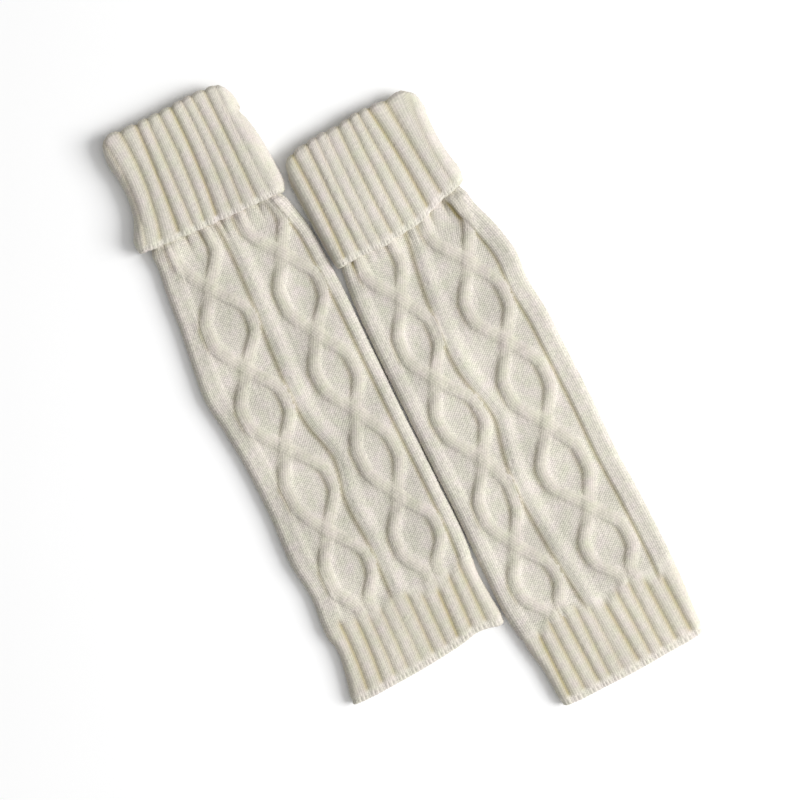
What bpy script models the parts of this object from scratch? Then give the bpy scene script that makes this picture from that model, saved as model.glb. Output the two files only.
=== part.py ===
"""A pair of cable-knit leg warmers lying flat, side by side, with their ribbed tops turned down.

Each leg warmer is knitted as one tube: a ribbed top folded over into a cuff, a leg with two columns
of crossing cables on its front, and a ribbed hem. Each stretch is its own closed wall of cloth round
a slit that runs through the flattened tube from end to end.

Metres, +Z up, the floor at z = 0. +Y runs along the legs towards the cuffs and +X to the right.
"down" is the distance down a leg warmer from the top of its fold, "across" is X.
"""

import math
from collections import namedtuple

import bmesh
import bpy
import numpy as np

MM = 0.001

# Cloth
WALL = 2.6 * MM  # the purl ground
SLIT = 1.2 * MM  # the least air between front and back
LAYER_GAP = 0.4 * MM  # between the cuff and the tube inside it
SEAM_GAP = 0.3 * MM  # between one stretch of knitting and the next
LEG_THICKNESS = 7.6 * MM  # both walls of a leg and the air between them, at the purl ground
TUCKED_THICKNESS = 2 * WALL + SLIT  # where the leg is pressed flat inside the cuff
CUFF_THICKNESS = 4 * WALL + 2 * LAYER_GAP + SLIT
FOLD_RADIUS = WALL + LAYER_GAP / 2

# Raised work, above the purl ground
CABLE_RISE = 2.3 * MM
CROSSING_RISE = 3.0 * MM
RIB_RISE = 1.7 * MM
SIDE_RISE = 1.1 * MM
DIAMOND_PUFF = 0.8 * MM
CABLE_FOOT = 3.6 * MM  # half the width of a cable at the ground
CABLE_CROWN = 2.1 * MM  # and on top
RIB_FOOT = 4.0 * MM
RIB_CROWN = 2.6 * MM
PINCHED_FOOT = 0.4 * MM  # where two cables meet, what is left of the ground on each side
PINCHED_CROWN = 1.0 * MM
LEAST_STEP = 0.6 * MM  # between neighbouring columns of points

# The knitted tube
HALF_WIDTH = 53 * MM
CENTRE = (0.2 * MM, 0.06 * MM)  # the middle of the pair's footprint, which becomes the origin
RIB_SHOULDER = 0.22  # half of a rib's flat top, as a share of the distance from groove to groove
HEM_START = 350 * MM
ROWS_PER_DIAMOND = 8
CUFF_ROWS = 5
HEM_ROWS = 6
RELIEF_STARTS = 2 * MM  # below the cuff's edge, where the leg comes out from under it
RELIEF_FULL = 12 * MM
LIFT_ENDS = 16 * MM  # below the cuff's edge, where the leg reaches the floor
FOLD_DROP_ENDS = 26 * MM  # below the fold, where its rounded corners no longer show
STRANDS_PART = 16 * MM  # above the hem, from where the cables draw no closer than this half distance
ENDS_APART = 4.5 * MM
CORNER = 0.72  # how far from a crossing to the middle of a diamond the strands part in straight lines
CORNER_ROUNDING = 0.25

# Points round a section that aren't on its front
SIDE_ANGLES = (28, -12, -52)  # degrees above the horizontal, down the right-hand edge
UNDERSIDE_POINTS = 4

Outline = namedtuple("Outline", "down left right tilt")
Wander = namedtuple("Wander", "down across")
Cables = namedtuple("Cables", "down across swing")
Groove = namedtuple("Groove", "high middle low depth")
Ribbing = namedtuple("Ribbing", "high low grooves")
Shift = namedtuple("Shift", "across down")
LegWarmer = namedtuple(
    "LegWarmer",
    "name middle top_y length cuff_edge lowest_edge tucked_end cuff cuff_ribs fold_drop cuff_wave leg "
    "hem_ribs hem_wave crossings rib cables left_rib right_rib",
)


def in_metres(row_type, rows):
    return [row_type(*(value * MM for value in row)) for row in rows]


def ribbing(high, low, rows):
    """Grooves between ribs: their places across at two distances down and midway, and their depths."""
    grooves = [Groove(*(value * MM for value in row[:3]), row[3]) for row in rows]
    return Ribbing(high * MM, low * MM, grooves)


# tilt is how much lower a knitted row lies at the right-hand edge than in the middle. The drop of
# the fold and the waves of the cuff's and the hem's edges are how far each place moves down.
LEFT = LegWarmer(
    name="left",
    middle=-56 * MM,
    top_y=230.8 * MM,
    length=397 * MM,
    cuff_edge=79.5 * MM,
    lowest_edge=80 * MM,
    tucked_end=59 * MM,
    cuff=in_metres(
        Outline,
        [
            (0, -102.8, -9.6, 0),
            (6, -103.6, -9.4, 0),
            (12, -103.4, -9.6, 0),
            (19, -103.2, -11.0, 0),
            (28, -101.9, -8.9, 0),
            (41, -101.7, -6.4, 0),
            (54, -103.7, -5.4, 0.3),
            (64, -107.6, -4.7, 0.8),
            (71, -110.8, -4.6, 1.2),
            (80, -111.2, -6.4, 1.5),
        ],
    ),
    cuff_ribs=ribbing(
        7,
        71,
        [
            (-97.6, -96.5, -101.9, 0.7),
            (-86.0, -86.4, -91.7, 0.9),
            (-75.2, -77.0, -79.8, 1.0),
            (-67.3, -68.6, -69.9, 0.8),
            (-58.6, -58.9, -61.8, 0.9),
            (-49.7, -50.2, -53.2, 1.0),
            (-41.5, -41.3, -43.2, 0.8),
            (-34.6, -33.9, -35.3, 0.8),
            (-25.5, -25.4, -25.6, 0.9),
            (-18.0, -18.0, -16.6, 0.4),
        ],
    ),
    fold_drop=in_metres(
        Shift,
        [
            (-106, 12),
            (-103.5, 9),
            (-102, 5.5),
            (-100, 2.2),
            (-96, 0.6),
            (-86, 1.0),
            (-60, 1.2),
            (-25, 0.9),
            (-18, 2.0),
            (-14, 4.0),
            (-11, 7.5),
            (-9, 11.5),
        ],
    ),
    cuff_wave=in_metres(Shift, [(-112, -1.5), (-100, -0.5), (-80, 0.2), (-50, 0.6), (-20, 0.4), (-5, 0)]),
    leg=in_metres(
        Outline,
        [
            (59, -100.2, -10.6, 0.5),
            (70, -100.4, -12.2, 1.1),
            (80, -101.0, -12.0, 1.4),
            (90, -103.0, -8.0, 0.9),
            (106, -105.6, -3.8, 0),
            (132, -108.2, -1.9, 0),
            (158, -111.8, -1.2, -0.5),
            (182, -113.8, -1.1, -1),
            (200, -111.6, -1.2, -1),
            (236, -108.9, -1.4, -1),
            (262, -108.6, -1.2, -1),
            (301, -110.2, -0.9, -1),
            (327, -107.9, -0.8, -1.5),
            (343, -109.7, -1.8, -2),
            (350, -109.9, -2.6, -2),
            (361, -107.6, -3.8, -2.5),
            (379, -109.9, -2.9, -3.5),
            (392, -113.0, -1.8, -4),
            (398, -114.6, -1.9, -4),
        ],
    ),
    hem_ribs=ribbing(
        362,
        394,
        [
            (-98.2, -99.2, -101.2, 1.0),
            (-87.6, -88.6, -90.6, 1.0),
            (-79.3, -79.8, -80.6, 0.8),
            (-70.1, -70.4, -71.2, 0.8),
            (-61.0, -60.9, -60.8, 0.7),
            (-51.0, -51.3, -51.8, 0.9),
            (-41.9, -41.9, -41.9, 0.9),
            (-31.5, -32.2, -33.2, 1.0),
            (-21.2, -21.8, -22.6, 1.0),
            (-12.0, -12.0, -12.0, 0.9),
        ],
    ),
    hem_wave=in_metres(
        Shift,
        [(-112, 0), (-103, 1), (-80, 1.8), (-56, 2), (-35, 1.2), (-16, 0), (-11, 1.4), (-6, 3)],
    ),
    crossings=[down * MM for down in (60, 117, 174, 231, 291.5, 349)],
    rib=in_metres(
        Wander,
        [
            (60, -54.0),
            (83, -52.3),
            (106, -52.0),
            (132, -53.0),
            (171, -56.2),
            (203, -57.5),
            (226, -56.2),
            (242, -51.9),
            (252, -50.4),
            (262, -51.9),
            (275, -55.0),
            (314, -54.4),
            (350, -56.0),
        ],
    ),
    cables=[
        in_metres(
            Cables,
            [
                (60, -78.0, 13.0),
                (88, -77.0, 13.0),
                (117, -79.0, 14.5),
                (145, -77.7, 15.0),
                (174, -81.0, 14.8),
                (202, -80.6, 14.6),
                (231, -80.8, 14.4),
                (261, -76.6, 14.3),
                (291, -79.3, 14.4),
                (320, -77.6, 14.4),
                (336, -79.2, 14.2),
                (350, -79.2, 14.0),
            ],
        ),
        in_metres(
            Cables,
            [
                (60, -31.5, 9.0),
                (88, -29.0, 12.4),
                (117, -27.1, 13.6),
                (145, -26.2, 13.8),
                (174, -29.6, 13.0),
                (202, -29.0, 12.4),
                (231, -28.7, 12.0),
                (261, -27.8, 11.9),
                (291, -28.3, 12.8),
                (320, -28.0, 14.6),
                (336, -29.2, 14.6),
                (350, -29.8, 14.0),
            ],
        ),
    ],
    left_rib=13.2 * MM,
    right_rib=7.4 * MM,
)

RIGHT = LegWarmer(
    name="right",
    middle=54 * MM,
    top_y=173.4 * MM,
    length=402.2 * MM,
    cuff_edge=77.5 * MM,
    lowest_edge=82 * MM,
    tucked_end=59 * MM,
    cuff=in_metres(
        Outline,
        [
            (0, -1.0, 97.4, -5),
            (8, -2.5, 98.5, -5.2),
            (18, -2.6, 98.3, -5.5),
            (28, -2.4, 97.6, -5.5),
            (42, -1.8, 97.8, -5.5),
            (55, -1.2, 99.1, -5.5),
            (70, -0.3, 101.4, -5.5),
            (78, 0.2, 100.8, -5.5),
        ],
    ),
    cuff_ribs=ribbing(
        7,
        71,
        [
            (8.0, 9.2, 8.9, 1.0),
            (18.5, 18.5, 18.9, 0.9),
            (25.6, 25.4, 26.4, 0.7),
            (33.3, 33.5, 34.0, 0.7),
            (41.6, 41.6, 43.0, 0.9),
            (50.4, 50.9, 52.1, 0.9),
            (57.7, 59.5, 61.6, 0.9),
            (65.6, 69.2, 71.4, 1.0),
            (77.2, 79.7, 82.8, 1.0),
            (89.6, 89.8, 92.2, 0.5),
        ],
    ),
    fold_drop=in_metres(
        Shift,
        [
            (-5, 9),
            (-2, 5.5),
            (1, 3.4),
            (6, 1.6),
            (14, 0.6),
            (28, 0.2),
            (41, 1.2),
            (55, 0.4),
            (66, 1.6),
            (77, 3.2),
            (86, 3.4),
            (92, 5.2),
            (96, 8.6),
            (98, 11),
            (101, 15),
        ],
    ),
    cuff_wave=in_metres(
        Shift,
        [
            (-1, 1.4),
            (12, 1.7),
            (28, 3.4),
            (36, 4.7),
            (46, 4.1),
            (56, 4.0),
            (65, 3.8),
            (74, 1.0),
            (81, -1.0),
            (93, -2.8),
            (101, -4.6),
        ],
    ),
    leg=in_metres(
        Outline,
        [
            (59, 4.4, 94.2, -5.5),
            (74, 5.6, 95.2, -5.5),
            (80, 5.0, 96.4, -5.3),
            (88, 3.0, 99.4, -4.5),
            (98, 1.7, 103.4, -4),
            (110, 0.8, 107.0, -3.5),
            (125, 0.2, 110.0, -3),
            (146, 0.0, 109.4, -2.5),
            (170, 0.0, 111.5, -2.5),
            (195, 0.1, 112.1, -3),
            (235, 0.3, 112.8, -3),
            (270, 0.6, 112.5, -2.5),
            (300, 0.2, 113.8, -2),
            (330, 0.4, 114.6, -2),
            (348, 2.4, 114.7, -2),
            (362, 4.6, 114.2, -2),
            (373, 7.0, 113.5, -2),
            (387, 8.2, 112.7, -2),
            (402, 9.0, 112.0, -2.2),
        ],
    ),
    hem_ribs=ribbing(
        362,
        394,
        [
            (15.0, 15.2, 15.4, 1.0),
            (24.8, 25.4, 26.2, 0.9),
            (34.8, 35.6, 36.6, 1.0),
            (43.9, 44.1, 44.5, 0.9),
            (52.6, 53.2, 54.0, 0.7),
            (62.8, 64.1, 65.6, 1.0),
            (72.7, 73.6, 74.4, 0.9),
            (82.1, 82.6, 83.3, 0.9),
            (92.3, 93.0, 93.7, 1.0),
            (103.6, 104.1, 104.8, 1.0),
        ],
    ),
    hem_wave=in_metres(Shift, [(8, 0.6), (14, 1.2), (40, 2), (64, 2.4), (85, 1.8), (105, 1.4), (113, 0.6)]),
    crossings=[down * MM for down in (60, 119, 175.5, 236, 295.5, 349)],
    rib=in_metres(
        Wander,
        [
            (60, 54.0),
            (88, 54.9),
            (107, 51.9),
            (127, 49.2),
            (146, 47.8),
            (166, 46.4),
            (179, 47.2),
            (192, 49.8),
            (205, 53.4),
            (218, 54.7),
            (231, 51.9),
            (244, 49.2),
            (257, 47.4),
            (283, 47.9),
            (309, 49.7),
            (350, 54.2),
        ],
    ),
    cables=[
        in_metres(
            Cables,
            [
                (60, 29.0, 12.5),
                (90, 28.0, 12.6),
                (119, 29.6, 12.4),
                (147, 28.2, 12.2),
                (175, 26.4, 13.0),
                (206, 30.2, 13.8),
                (236, 31.6, 12.6),
                (266, 27.4, 11.6),
                (295, 26.0, 12.0),
                (322, 28.4, 13.4),
                (336, 29.5, 13.4),
                (350, 32.4, 13.0),
            ],
        ),
        in_metres(
            Cables,
            [
                (60, 77.0, 13.0),
                (90, 77.4, 13.4),
                (119, 79.4, 13.4),
                (147, 78.6, 13.4),
                (175, 79.0, 13.8),
                (206, 79.0, 14.0),
                (236, 78.8, 14.0),
                (266, 76.9, 14.0),
                (295, 80.2, 14.0),
                (322, 80.8, 14.4),
                (336, 81.8, 14.4),
                (350, 83.0, 14.0),
            ],
        ),
    ],
    left_rib=9.6 * MM,
    right_rib=12.4 * MM,
)


def read(table, column, down, key="down"):
    """A column of a table at one distance down, on a smooth curve through the table's rows."""
    at = [getattr(row, key) for row in table]
    value = [getattr(row, column) for row in table]
    slope = np.gradient(value, at)
    i = int(np.clip(np.searchsorted(at, down) - 1, 0, len(at) - 2))
    span = at[i + 1] - at[i]
    t = min(max((down - at[i]) / span, 0), 1)
    return (
        value[i] * (1 + 2 * t) * (1 - t) ** 2
        + slope[i] * span * t * (1 - t) ** 2
        + value[i + 1] * t * t * (3 - 2 * t)
        - slope[i + 1] * span * t * t * (1 - t)
    )


def ease(value, start, end):
    """0 before start, 1 after end, and a smooth step between them."""
    t = min(max((value - start) / (end - start), 0), 1)
    return t * t * (3 - 2 * t)


def kept_apart(columns):
    """The columns (across, rise) with at least the least step between neighbours, ends kept."""
    across = [column[0] for column in columns]
    for i in range(1, len(across)):
        across[i] = max(across[i], across[i - 1] + LEAST_STEP)
    across[-1] = columns[-1][0]
    for i in reversed(range(len(across) - 1)):
        across[i] = min(across[i], across[i + 1] - LEAST_STEP)
    return [(place, column[1]) for place, column in zip(across, columns)]


def section(left, right, bottom, thickness, front, side_rise, depth=0.0, forward=0.0):
    """The points (across, forward, height) round a flattened tube, at a depth inside its ground.

    front has a column (across, rise) for each point on top. The edges are half circles. forward is
    how far a column's rise leans up the leg rather than out of the cloth, from 0 to 1.
    """
    radius = thickness / 2
    lean = math.sqrt(1 - forward * forward)
    flat_left, flat_right = left + radius, right - radius
    points = []

    def add(across, height, out_across, out_height, rise):
        out = rise * lean - depth
        points.append((across + out_across * out, rise * forward, height + out_height * out))

    for across, rise in front:
        beyond = max(flat_left - across, across - flat_right, 0.0)
        sine = min(beyond / radius, 0.98)
        side = -1 if across < flat_left else 1
        foot = min(max(across, flat_left), flat_right)
        cosine = math.sqrt(1 - sine * sine)
        add(foot + side * radius * sine, bottom + radius + radius * cosine, side * sine, cosine, rise)
    for angle in SIDE_ANGLES:
        cosine, sine = math.cos(math.radians(angle)), math.sin(math.radians(angle))
        rise = side_rise if angle > -30 else 0.0
        add(flat_right + radius * cosine, bottom + radius + radius * sine, cosine, sine, rise)
    for share in np.linspace(0, 1, UNDERSIDE_POINTS):
        add(flat_right + (flat_left - flat_right) * share, bottom, 0.0, -1.0, 0.0)
    for angle in reversed(SIDE_ANGLES):
        cosine, sine = math.cos(math.radians(angle)), math.sin(math.radians(angle))
        rise = side_rise if angle > -30 else 0.0
        add(flat_left - radius * cosine, bottom + radius + radius * sine, -cosine, sine, rise)
    return points


def placed(warmer, outline, down, points, shifts=()):
    """A section's points in the model's frame: its knitted row may lie tilted on the floor.

    shifts has a table and a share for each edge whose waves move the row.
    """
    slope = read(outline, "tilt", down) / HALF_WIDTH
    row = warmer.top_y - down - CENTRE[1]
    found = []
    for across, forward, height in points:
        shift = sum(read(table, "down", across, "across") * share for table, share in shifts)
        y = row + forward - slope * (across - warmer.middle) - shift
        found.append((across - CENTRE[0], y, height))
    return found


def cornered(share):
    """From 0 to 1 as share does, straight up to a rounded corner and nearly level after it."""
    low, here, high = (
        bend - math.hypot(bend - 1, CORNER_ROUNDING) for bend in (0.0, share / CORNER, 1 / CORNER)
    )
    return (here - low) / (high - low)


def swing_of(warmer, cables, down):
    """How far each cable of a column stands from the column's axis: 0 at a crossing.

    At the hem the two end side by side.
    """
    phase = np.interp(down, warmer.crossings, range(len(warmer.crossings)))
    from_crossing = 1 - abs(2 * (phase % 1) - 1)
    swing = read(cables, "swing", down) * cornered(from_crossing)
    return math.hypot(swing, ENDS_APART * ease(down, HEM_START - STRANDS_PART, HEM_START))


def cable_columns(warmer, cables, down, relief):
    """The nine columns of points over one column of diamonds."""
    axis, swing = read(cables, "across", down), swing_of(warmer, cables, down)
    met = max(0.0, 1 - swing / CABLE_FOOT)
    top = (CABLE_RISE + (CROSSING_RISE - CABLE_RISE) * met) * relief
    puff = DIAMOND_PUFF * swing / read(cables, "swing", down) * relief
    half = [
        (swing + CABLE_FOOT, 0.0),
        (swing + CABLE_CROWN, top),
        (max(swing - CABLE_CROWN, PINCHED_CROWN), top),
        (max(swing - CABLE_FOOT, PINCHED_FOOT), top * met + puff / 2 * (1 - met)),
    ]
    left = [(axis - away, rise) for away, rise in half]
    right = [(axis + away, rise) for away, rise in reversed(half)]
    return [*left, (axis, top * met + puff * (1 - met)), *right]


def leg_front(warmer, left, right, down, relief):
    """The columns (across, rise) over a leg's front, from its left edge to its right one."""
    rib = read(warmer.rib, "across", down)
    side, middle = SIDE_RISE * relief, RIB_RISE * relief
    left_foot, right_foot = left + warmer.left_rib, right - warmer.right_rib
    step_in = RIB_FOOT - RIB_CROWN
    edge = 2.2 * MM
    return kept_apart(
        [
            (left + edge, side),
            (left_foot - step_in, side),
            (left_foot, 0.0),
            *cable_columns(warmer, warmer.cables[0], down, relief),
            (rib - RIB_FOOT, 0.0),
            (rib - RIB_CROWN, middle),
            (rib + RIB_CROWN, middle),
            (rib + RIB_FOOT, 0.0),
            *cable_columns(warmer, warmer.cables[1], down, relief),
            (right_foot, 0.0),
            (right_foot + step_in, side),
            (right - edge, side),
        ]
    )


def groove_places(ribs, down):
    """The places across of the grooves at one distance down, each on a curve through its three."""
    turn = (down - (ribs.high + ribs.low) / 2) / ((ribs.low - ribs.high) / 2)
    turn = min(max(turn, -1.4), 1.4)
    return [
        groove.middle
        + (groove.low - groove.high) / 2 * turn
        + ((groove.low + groove.high) / 2 - groove.middle) * turn**2
        for groove in ribs.grooves
    ]


def ribbed_front(left, right, ribs, down, rise):
    """The columns (across, rise) over a ribbed front: grooves, with a rib's two shoulders between."""
    places = groove_places(ribs, down)
    columns = [((left + places[0]) / 2, rise)]
    for groove, place, following in zip(ribs.grooves, places, places[1:]):
        middle, shoulder = (place + following) / 2, RIB_SHOULDER * (following - place)
        columns += [(place, rise * (1 - groove.depth)), (middle - shoulder, rise), (middle + shoulder, rise)]
    columns.append((places[-1], rise * (1 - ribs.grooves[-1].depth)))
    columns.append(((places[-1] + right) / 2, rise))
    return columns


def leg_size(warmer, down):
    """Left and right edge of the ground, bottom, thickness and share of relief of the leg or hem."""
    past_edge = down - warmer.lowest_edge
    relief = ease(past_edge, RELIEF_STARTS, RELIEF_FULL)
    lift = (WALL + LAYER_GAP) * (1 - ease(past_edge, RELIEF_STARTS, LIFT_ENDS))
    thickness = TUCKED_THICKNESS + (LEG_THICKNESS - TUCKED_THICKNESS) * relief
    left = read(warmer.leg, "left", down) + SIDE_RISE * relief
    right = read(warmer.leg, "right", down) - SIDE_RISE * relief
    return left, right, lift, thickness, relief


def leg_rings(warmer):
    """The leg's wall: down its outside with the cables, then up its plain inside."""
    start, end = warmer.tucked_end + SEAM_GAP, HEM_START - SEAM_GAP
    downs = []
    for above, below in zip(warmer.crossings, warmer.crossings[1:]):
        downs += list(np.linspace(above, below, ROWS_PER_DIAMOND, endpoint=False))
    downs = [start, *downs[1:], end]
    outside, inside = [], []
    for row, down in enumerate(downs):
        left, right, bottom, thickness, relief = leg_size(warmer, down)
        front = leg_front(warmer, left, right, down, relief)
        args = (left, right, bottom, thickness, front, SIDE_RISE * relief)
        outside.append(placed(warmer, warmer.leg, down, section(*args)))
        if row < ROWS_PER_DIAMOND or row % (ROWS_PER_DIAMOND // 2) == 0 or down == end:
            plain = [(across, 0.0) for across, rise in front]
            args = (left, right, bottom, thickness, plain, 0.0, WALL)
            inside.append(placed(warmer, warmer.leg, down, section(*args)))
    return outside + inside[::-1]


def hem_rings(warmer):
    """The ribbed hem: its ribs rise from the seam and sink a little at the cast-on edge."""
    downs = np.linspace(HEM_START, warmer.length, HEM_ROWS + 1)
    outside, inside = [], []
    for row, down in enumerate(downs):
        left, right, bottom, thickness, _ = leg_size(warmer, down)
        share = min(0.35 + row * 0.4, 1.0) if row < HEM_ROWS else 0.45
        rise = RIB_RISE * share
        front = ribbed_front(left, right, warmer.hem_ribs, down, rise)
        shifts = [(warmer.hem_wave, ease(down, HEM_START + 10 * MM, warmer.length))]
        args = (left, right, bottom, thickness, front, SIDE_RISE)
        outside.append(placed(warmer, warmer.leg, down, section(*args), shifts))
        if row % 3 == 0:
            plain = [(across, 0.0) for across, _ in front]
            args = (left, right, bottom, thickness, plain, 0.0, WALL)
            inside.append(placed(warmer, warmer.leg, down, section(*args), shifts))
    return outside + inside[::-1]


def cuff_rings(warmer):
    """The turned-down top: up its ribbed outside, over the fold, and down and up inside itself.

    Only the layer outside the fold ends in a waved edge; the one inside joins the leg.
    """
    thick = CUFF_THICKNESS

    def ring(down, depth, rise=0.0, forward=0.0):
        left = read(warmer.cuff, "left", down) + RIB_RISE
        right = read(warmer.cuff, "right", down) - RIB_RISE
        front = ribbed_front(left, right, warmer.cuff_ribs, down, rise)
        side = rise * SIDE_RISE / RIB_RISE
        points = section(left, right, 0.0, thick, front, side, depth, forward)
        corners = (warmer.fold_drop, 1 - ease(down, 2 * MM, FOLD_DROP_ENDS))
        outer = ease(down, FOLD_DROP_ENDS, warmer.cuff_edge) if depth <= WALL else 0.0
        return placed(warmer, warmer.cuff, down, points, [corners, (warmer.cuff_wave, outer)])

    hidden = np.linspace(FOLD_RADIUS, warmer.tucked_end - SEAM_GAP, CUFF_ROWS)
    shown = [*hidden, (hidden[-1] + warmer.cuff_edge) / 2, warmer.cuff_edge - 3 * MM]
    rings = [ring(warmer.cuff_edge, 0.0, RIB_RISE * 0.55)]
    rings += [ring(down, 0.0, RIB_RISE) for down in reversed(shown)]
    for degrees in (40, 80, 125):
        angle = math.radians(degrees)
        down = FOLD_RADIUS * (1 - math.sin(angle))
        depth = FOLD_RADIUS * (1 - math.cos(angle))
        rise = RIB_RISE * max(math.cos(angle / 2), 0) ** 0.5 if degrees < 90 else 0.0
        rings.append(ring(down, depth, rise, math.sin(angle) if degrees < 90 else 0.0))
    rings += [ring(down, 2 * FOLD_RADIUS) for down in hidden]
    rings += [ring(down, WALL + LAYER_GAP) for down in reversed(hidden)]
    rings += [ring(down, WALL) for down in (*shown, warmer.cuff_edge)]
    return rings


def wool():
    """Cream acrylic yarn."""
    material = bpy.data.materials.new("cream_knit")
    material.use_nodes = True
    shader = material.node_tree.nodes["Principled BSDF"]
    shader.inputs["Base Color"].default_value = (0.82, 0.79, 0.70, 1)
    shader.inputs["Roughness"].default_value = 0.9
    shader.inputs["Metallic"].default_value = 0.0
    return material


def knitted(name, rings, material):
    """A flat grid rolled up both ways into one closed wall: round the tube, and from ring to ring."""
    rows, columns = len(rings), len(rings[0])
    bm = bmesh.new()
    bmesh.ops.create_grid(bm, x_segments=columns, y_segments=rows, size=1.0)
    bm.verts.ensure_lookup_table()
    for index, vertex in enumerate(bm.verts):
        row, column = divmod(index, columns + 1)
        vertex.co = rings[row % rows][column % columns]
    bmesh.ops.remove_doubles(bm, verts=bm.verts, dist=0.01 * MM)
    bmesh.ops.recalc_face_normals(bm, faces=bm.faces)
    for face in bm.faces:
        face.smooth = True
    mesh = bpy.data.meshes.new(name)
    bm.to_mesh(mesh)
    bm.free()
    mesh.materials.append(material)
    node = bpy.data.objects.new(name, mesh)
    bpy.context.scene.collection.objects.link(node)
    return node


def main():
    for old in list(bpy.data.objects):
        bpy.data.objects.remove(old)
    yarn = wool()
    for warmer in (LEFT, RIGHT):
        knitted(f"{warmer.name}_turned_cuff", cuff_rings(warmer), yarn)
        knitted(f"{warmer.name}_cabled_leg", leg_rings(warmer), yarn)
        knitted(f"{warmer.name}_ribbed_hem", hem_rings(warmer), yarn)


main()
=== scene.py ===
"""A pair of cream cable-knit leg warmers, laid flat side by side with their ribbed tops turned down.

Every piece is a sheet of knitting on the form of its solid. A flat grid with a row for each third of
a course and three or four columns for each wale is rolled into the flattened tube, and the stitches,
ribs, gathers and edges are raised in it. The crossing cables are strands of their own on the leg.

Metres, +Z up, the floor at z = 0, +Y along the legs towards the cuffs. "down" is the distance down a
leg warmer from the top of its fold, "across" is X, and "out" is the distance out of the purl ground.
"""

import math
from collections import namedtuple

import bpy
import numpy as np
from bpy.props import FloatProperty, FloatVectorProperty, PointerProperty
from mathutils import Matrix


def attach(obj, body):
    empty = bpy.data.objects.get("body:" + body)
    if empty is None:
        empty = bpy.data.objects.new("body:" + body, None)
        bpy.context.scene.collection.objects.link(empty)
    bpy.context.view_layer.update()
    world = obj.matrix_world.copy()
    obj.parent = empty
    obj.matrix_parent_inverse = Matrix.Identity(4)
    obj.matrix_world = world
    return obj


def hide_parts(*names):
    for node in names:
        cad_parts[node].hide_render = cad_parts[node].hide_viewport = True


bl_info = {
    "name": "Cable-knit Leg Warmers",
    "version": (1, 0, 0),
    "blender": (4, 5, 0),
    "location": "3D View > Sidebar > Leg Warmers",
    "description": "Knits a pair of cable leg warmers, laid flat, and sets a stage for them",
    "category": "Add Mesh",
}

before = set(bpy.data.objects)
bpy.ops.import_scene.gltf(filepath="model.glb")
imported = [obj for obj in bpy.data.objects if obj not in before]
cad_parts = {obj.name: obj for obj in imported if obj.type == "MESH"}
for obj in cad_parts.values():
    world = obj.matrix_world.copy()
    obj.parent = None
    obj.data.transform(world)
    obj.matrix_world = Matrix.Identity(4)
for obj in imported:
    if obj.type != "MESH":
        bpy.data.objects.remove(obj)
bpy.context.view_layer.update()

MM = 0.001
CENTRE = (0.2 * MM, 0.06 * MM)  # the middle of the pair's footprint, which is the origin
HALF_WIDTH = 53 * MM
HEM_START = 350 * MM

# The knitting's layout
ROWS_PER_COURSE = 3
KNIT_POINTS = 4  # columns of points for each knit wale: a gap, a leg, the middle and a leg
PURL_POINTS = 3
RIB_WALES = 4
RIB_HALF = 4.6 * MM  # half the width of the rib between the cables
STRAND_WALES = 3
SIDE_WALE = 2.3 * MM  # width of a wale in the ribs along a leg's edges
WORKED_EDGE = 0.75  # of the quarter turn below each edge's widest place, where the stitches end
UNDERSIDE_POINTS = 7
UNDERSIDE_WALES = 2.0  # from one of its points to the next
UNDERSIDE_PAINTED_SHADE = 0.5  # how much painted shade the yarn gets there, and inside
INSIDE_PAINTED_SHADE = 0.8
LEG_INSIDE_ROWS = 9
HEM_INSIDE_ROWS = 4
CUFF_INSIDE_ROWS = 5
FOLD_DROP_ENDS = (2 * MM, 26 * MM)  # how far down from the fold its corners' drop dies out
ROUND_EDGE = (20, 40, 60, 90, 120, 150, 180)  # degrees turned round a free edge
FOLD = (12, 24, 36, 48, 60, 72, 84, 96, 108, 122, 138, 158)  # and over the cuff's fold
SEAM_OVERLAP = 1.7 * MM  # the leg and the hem run on under each other
SEAM_STEP = 0.1 * MM

# How far back from a free edge the ribs or stitches start to end in it, and where they have ended
HEM_RIBS_END, HEM_STITCHES_END = (7 * MM, 2.5 * MM), (5 * MM, 2.5 * MM)
CUFF_END = (4.5 * MM, 1.5 * MM)
FOLD_STITCHES_END = (1.75, 2.4)  # radians over the cuff's fold
CUFF_WAVE_START = 35 * MM
RIB_DROOP = 0.5 * MM  # how much lower the cuff's edge hangs on a rib

# Stitches
LEAST_KNIT = 0.3  # a knit stitch's height in the gaps beside its legs
LEAST_BEAT = 0.56  # and between two courses
VEE_DROP = 0.55  # of a course, from the ends of a V's legs to its point
PURL_SLANT = 0.62  # how much more the purl bumps join along one diagonal: 0.5 is not at all
STITCH_UNEVENNESS = 0.32
GAP_PAINTED_SHADE = 0.3  # painted shade that darkens the yarn deep between stitches

# Ribs
EXTRA_GROOVES = 2  # past each end, where the ribs run on round the edges
EXTRA_DEPTH = 0.2
EXTRA_SPACING = 9.3 * MM
RIB_ROUNDNESS = 0.78  # 1 is a sine, less is flatter on top
GROOVE_SHADE = 0.5 * MM  # how far to the left of a groove between ribs its painted shade is darkest
HEM_RIB_SHARE, CUFF_RIB_SHARE = 0.72, 0.8  # of the ribs' full rise
RIBS_GROW = 9 * MM  # the length over which the hem's ribs rise
HEM_LEAST_SHADE, CUFF_MOST_SHADE = 0.14, 0.95  # the least painted shade on the hem's ribs, and the most in the cuff's grooves

# Where a slope across the leg's front starts and ends, from the rib, strand or edge that it belongs to
LEFT_SIDE_SLOPE = (-2 * MM, 3.5 * MM)
RIGHT_SIDE_SLOPE = (-0.5 * MM, 2.6 * MM)
RIB_FOOT = (-7.4 * MM, -3 * MM)
RIB_FRONT = (-5.5 * MM, 1.5 * MM)
RIB_BACK = (0.5 * MM, 9.5 * MM)
RIB_FOOT_SHARE = 0.45

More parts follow.
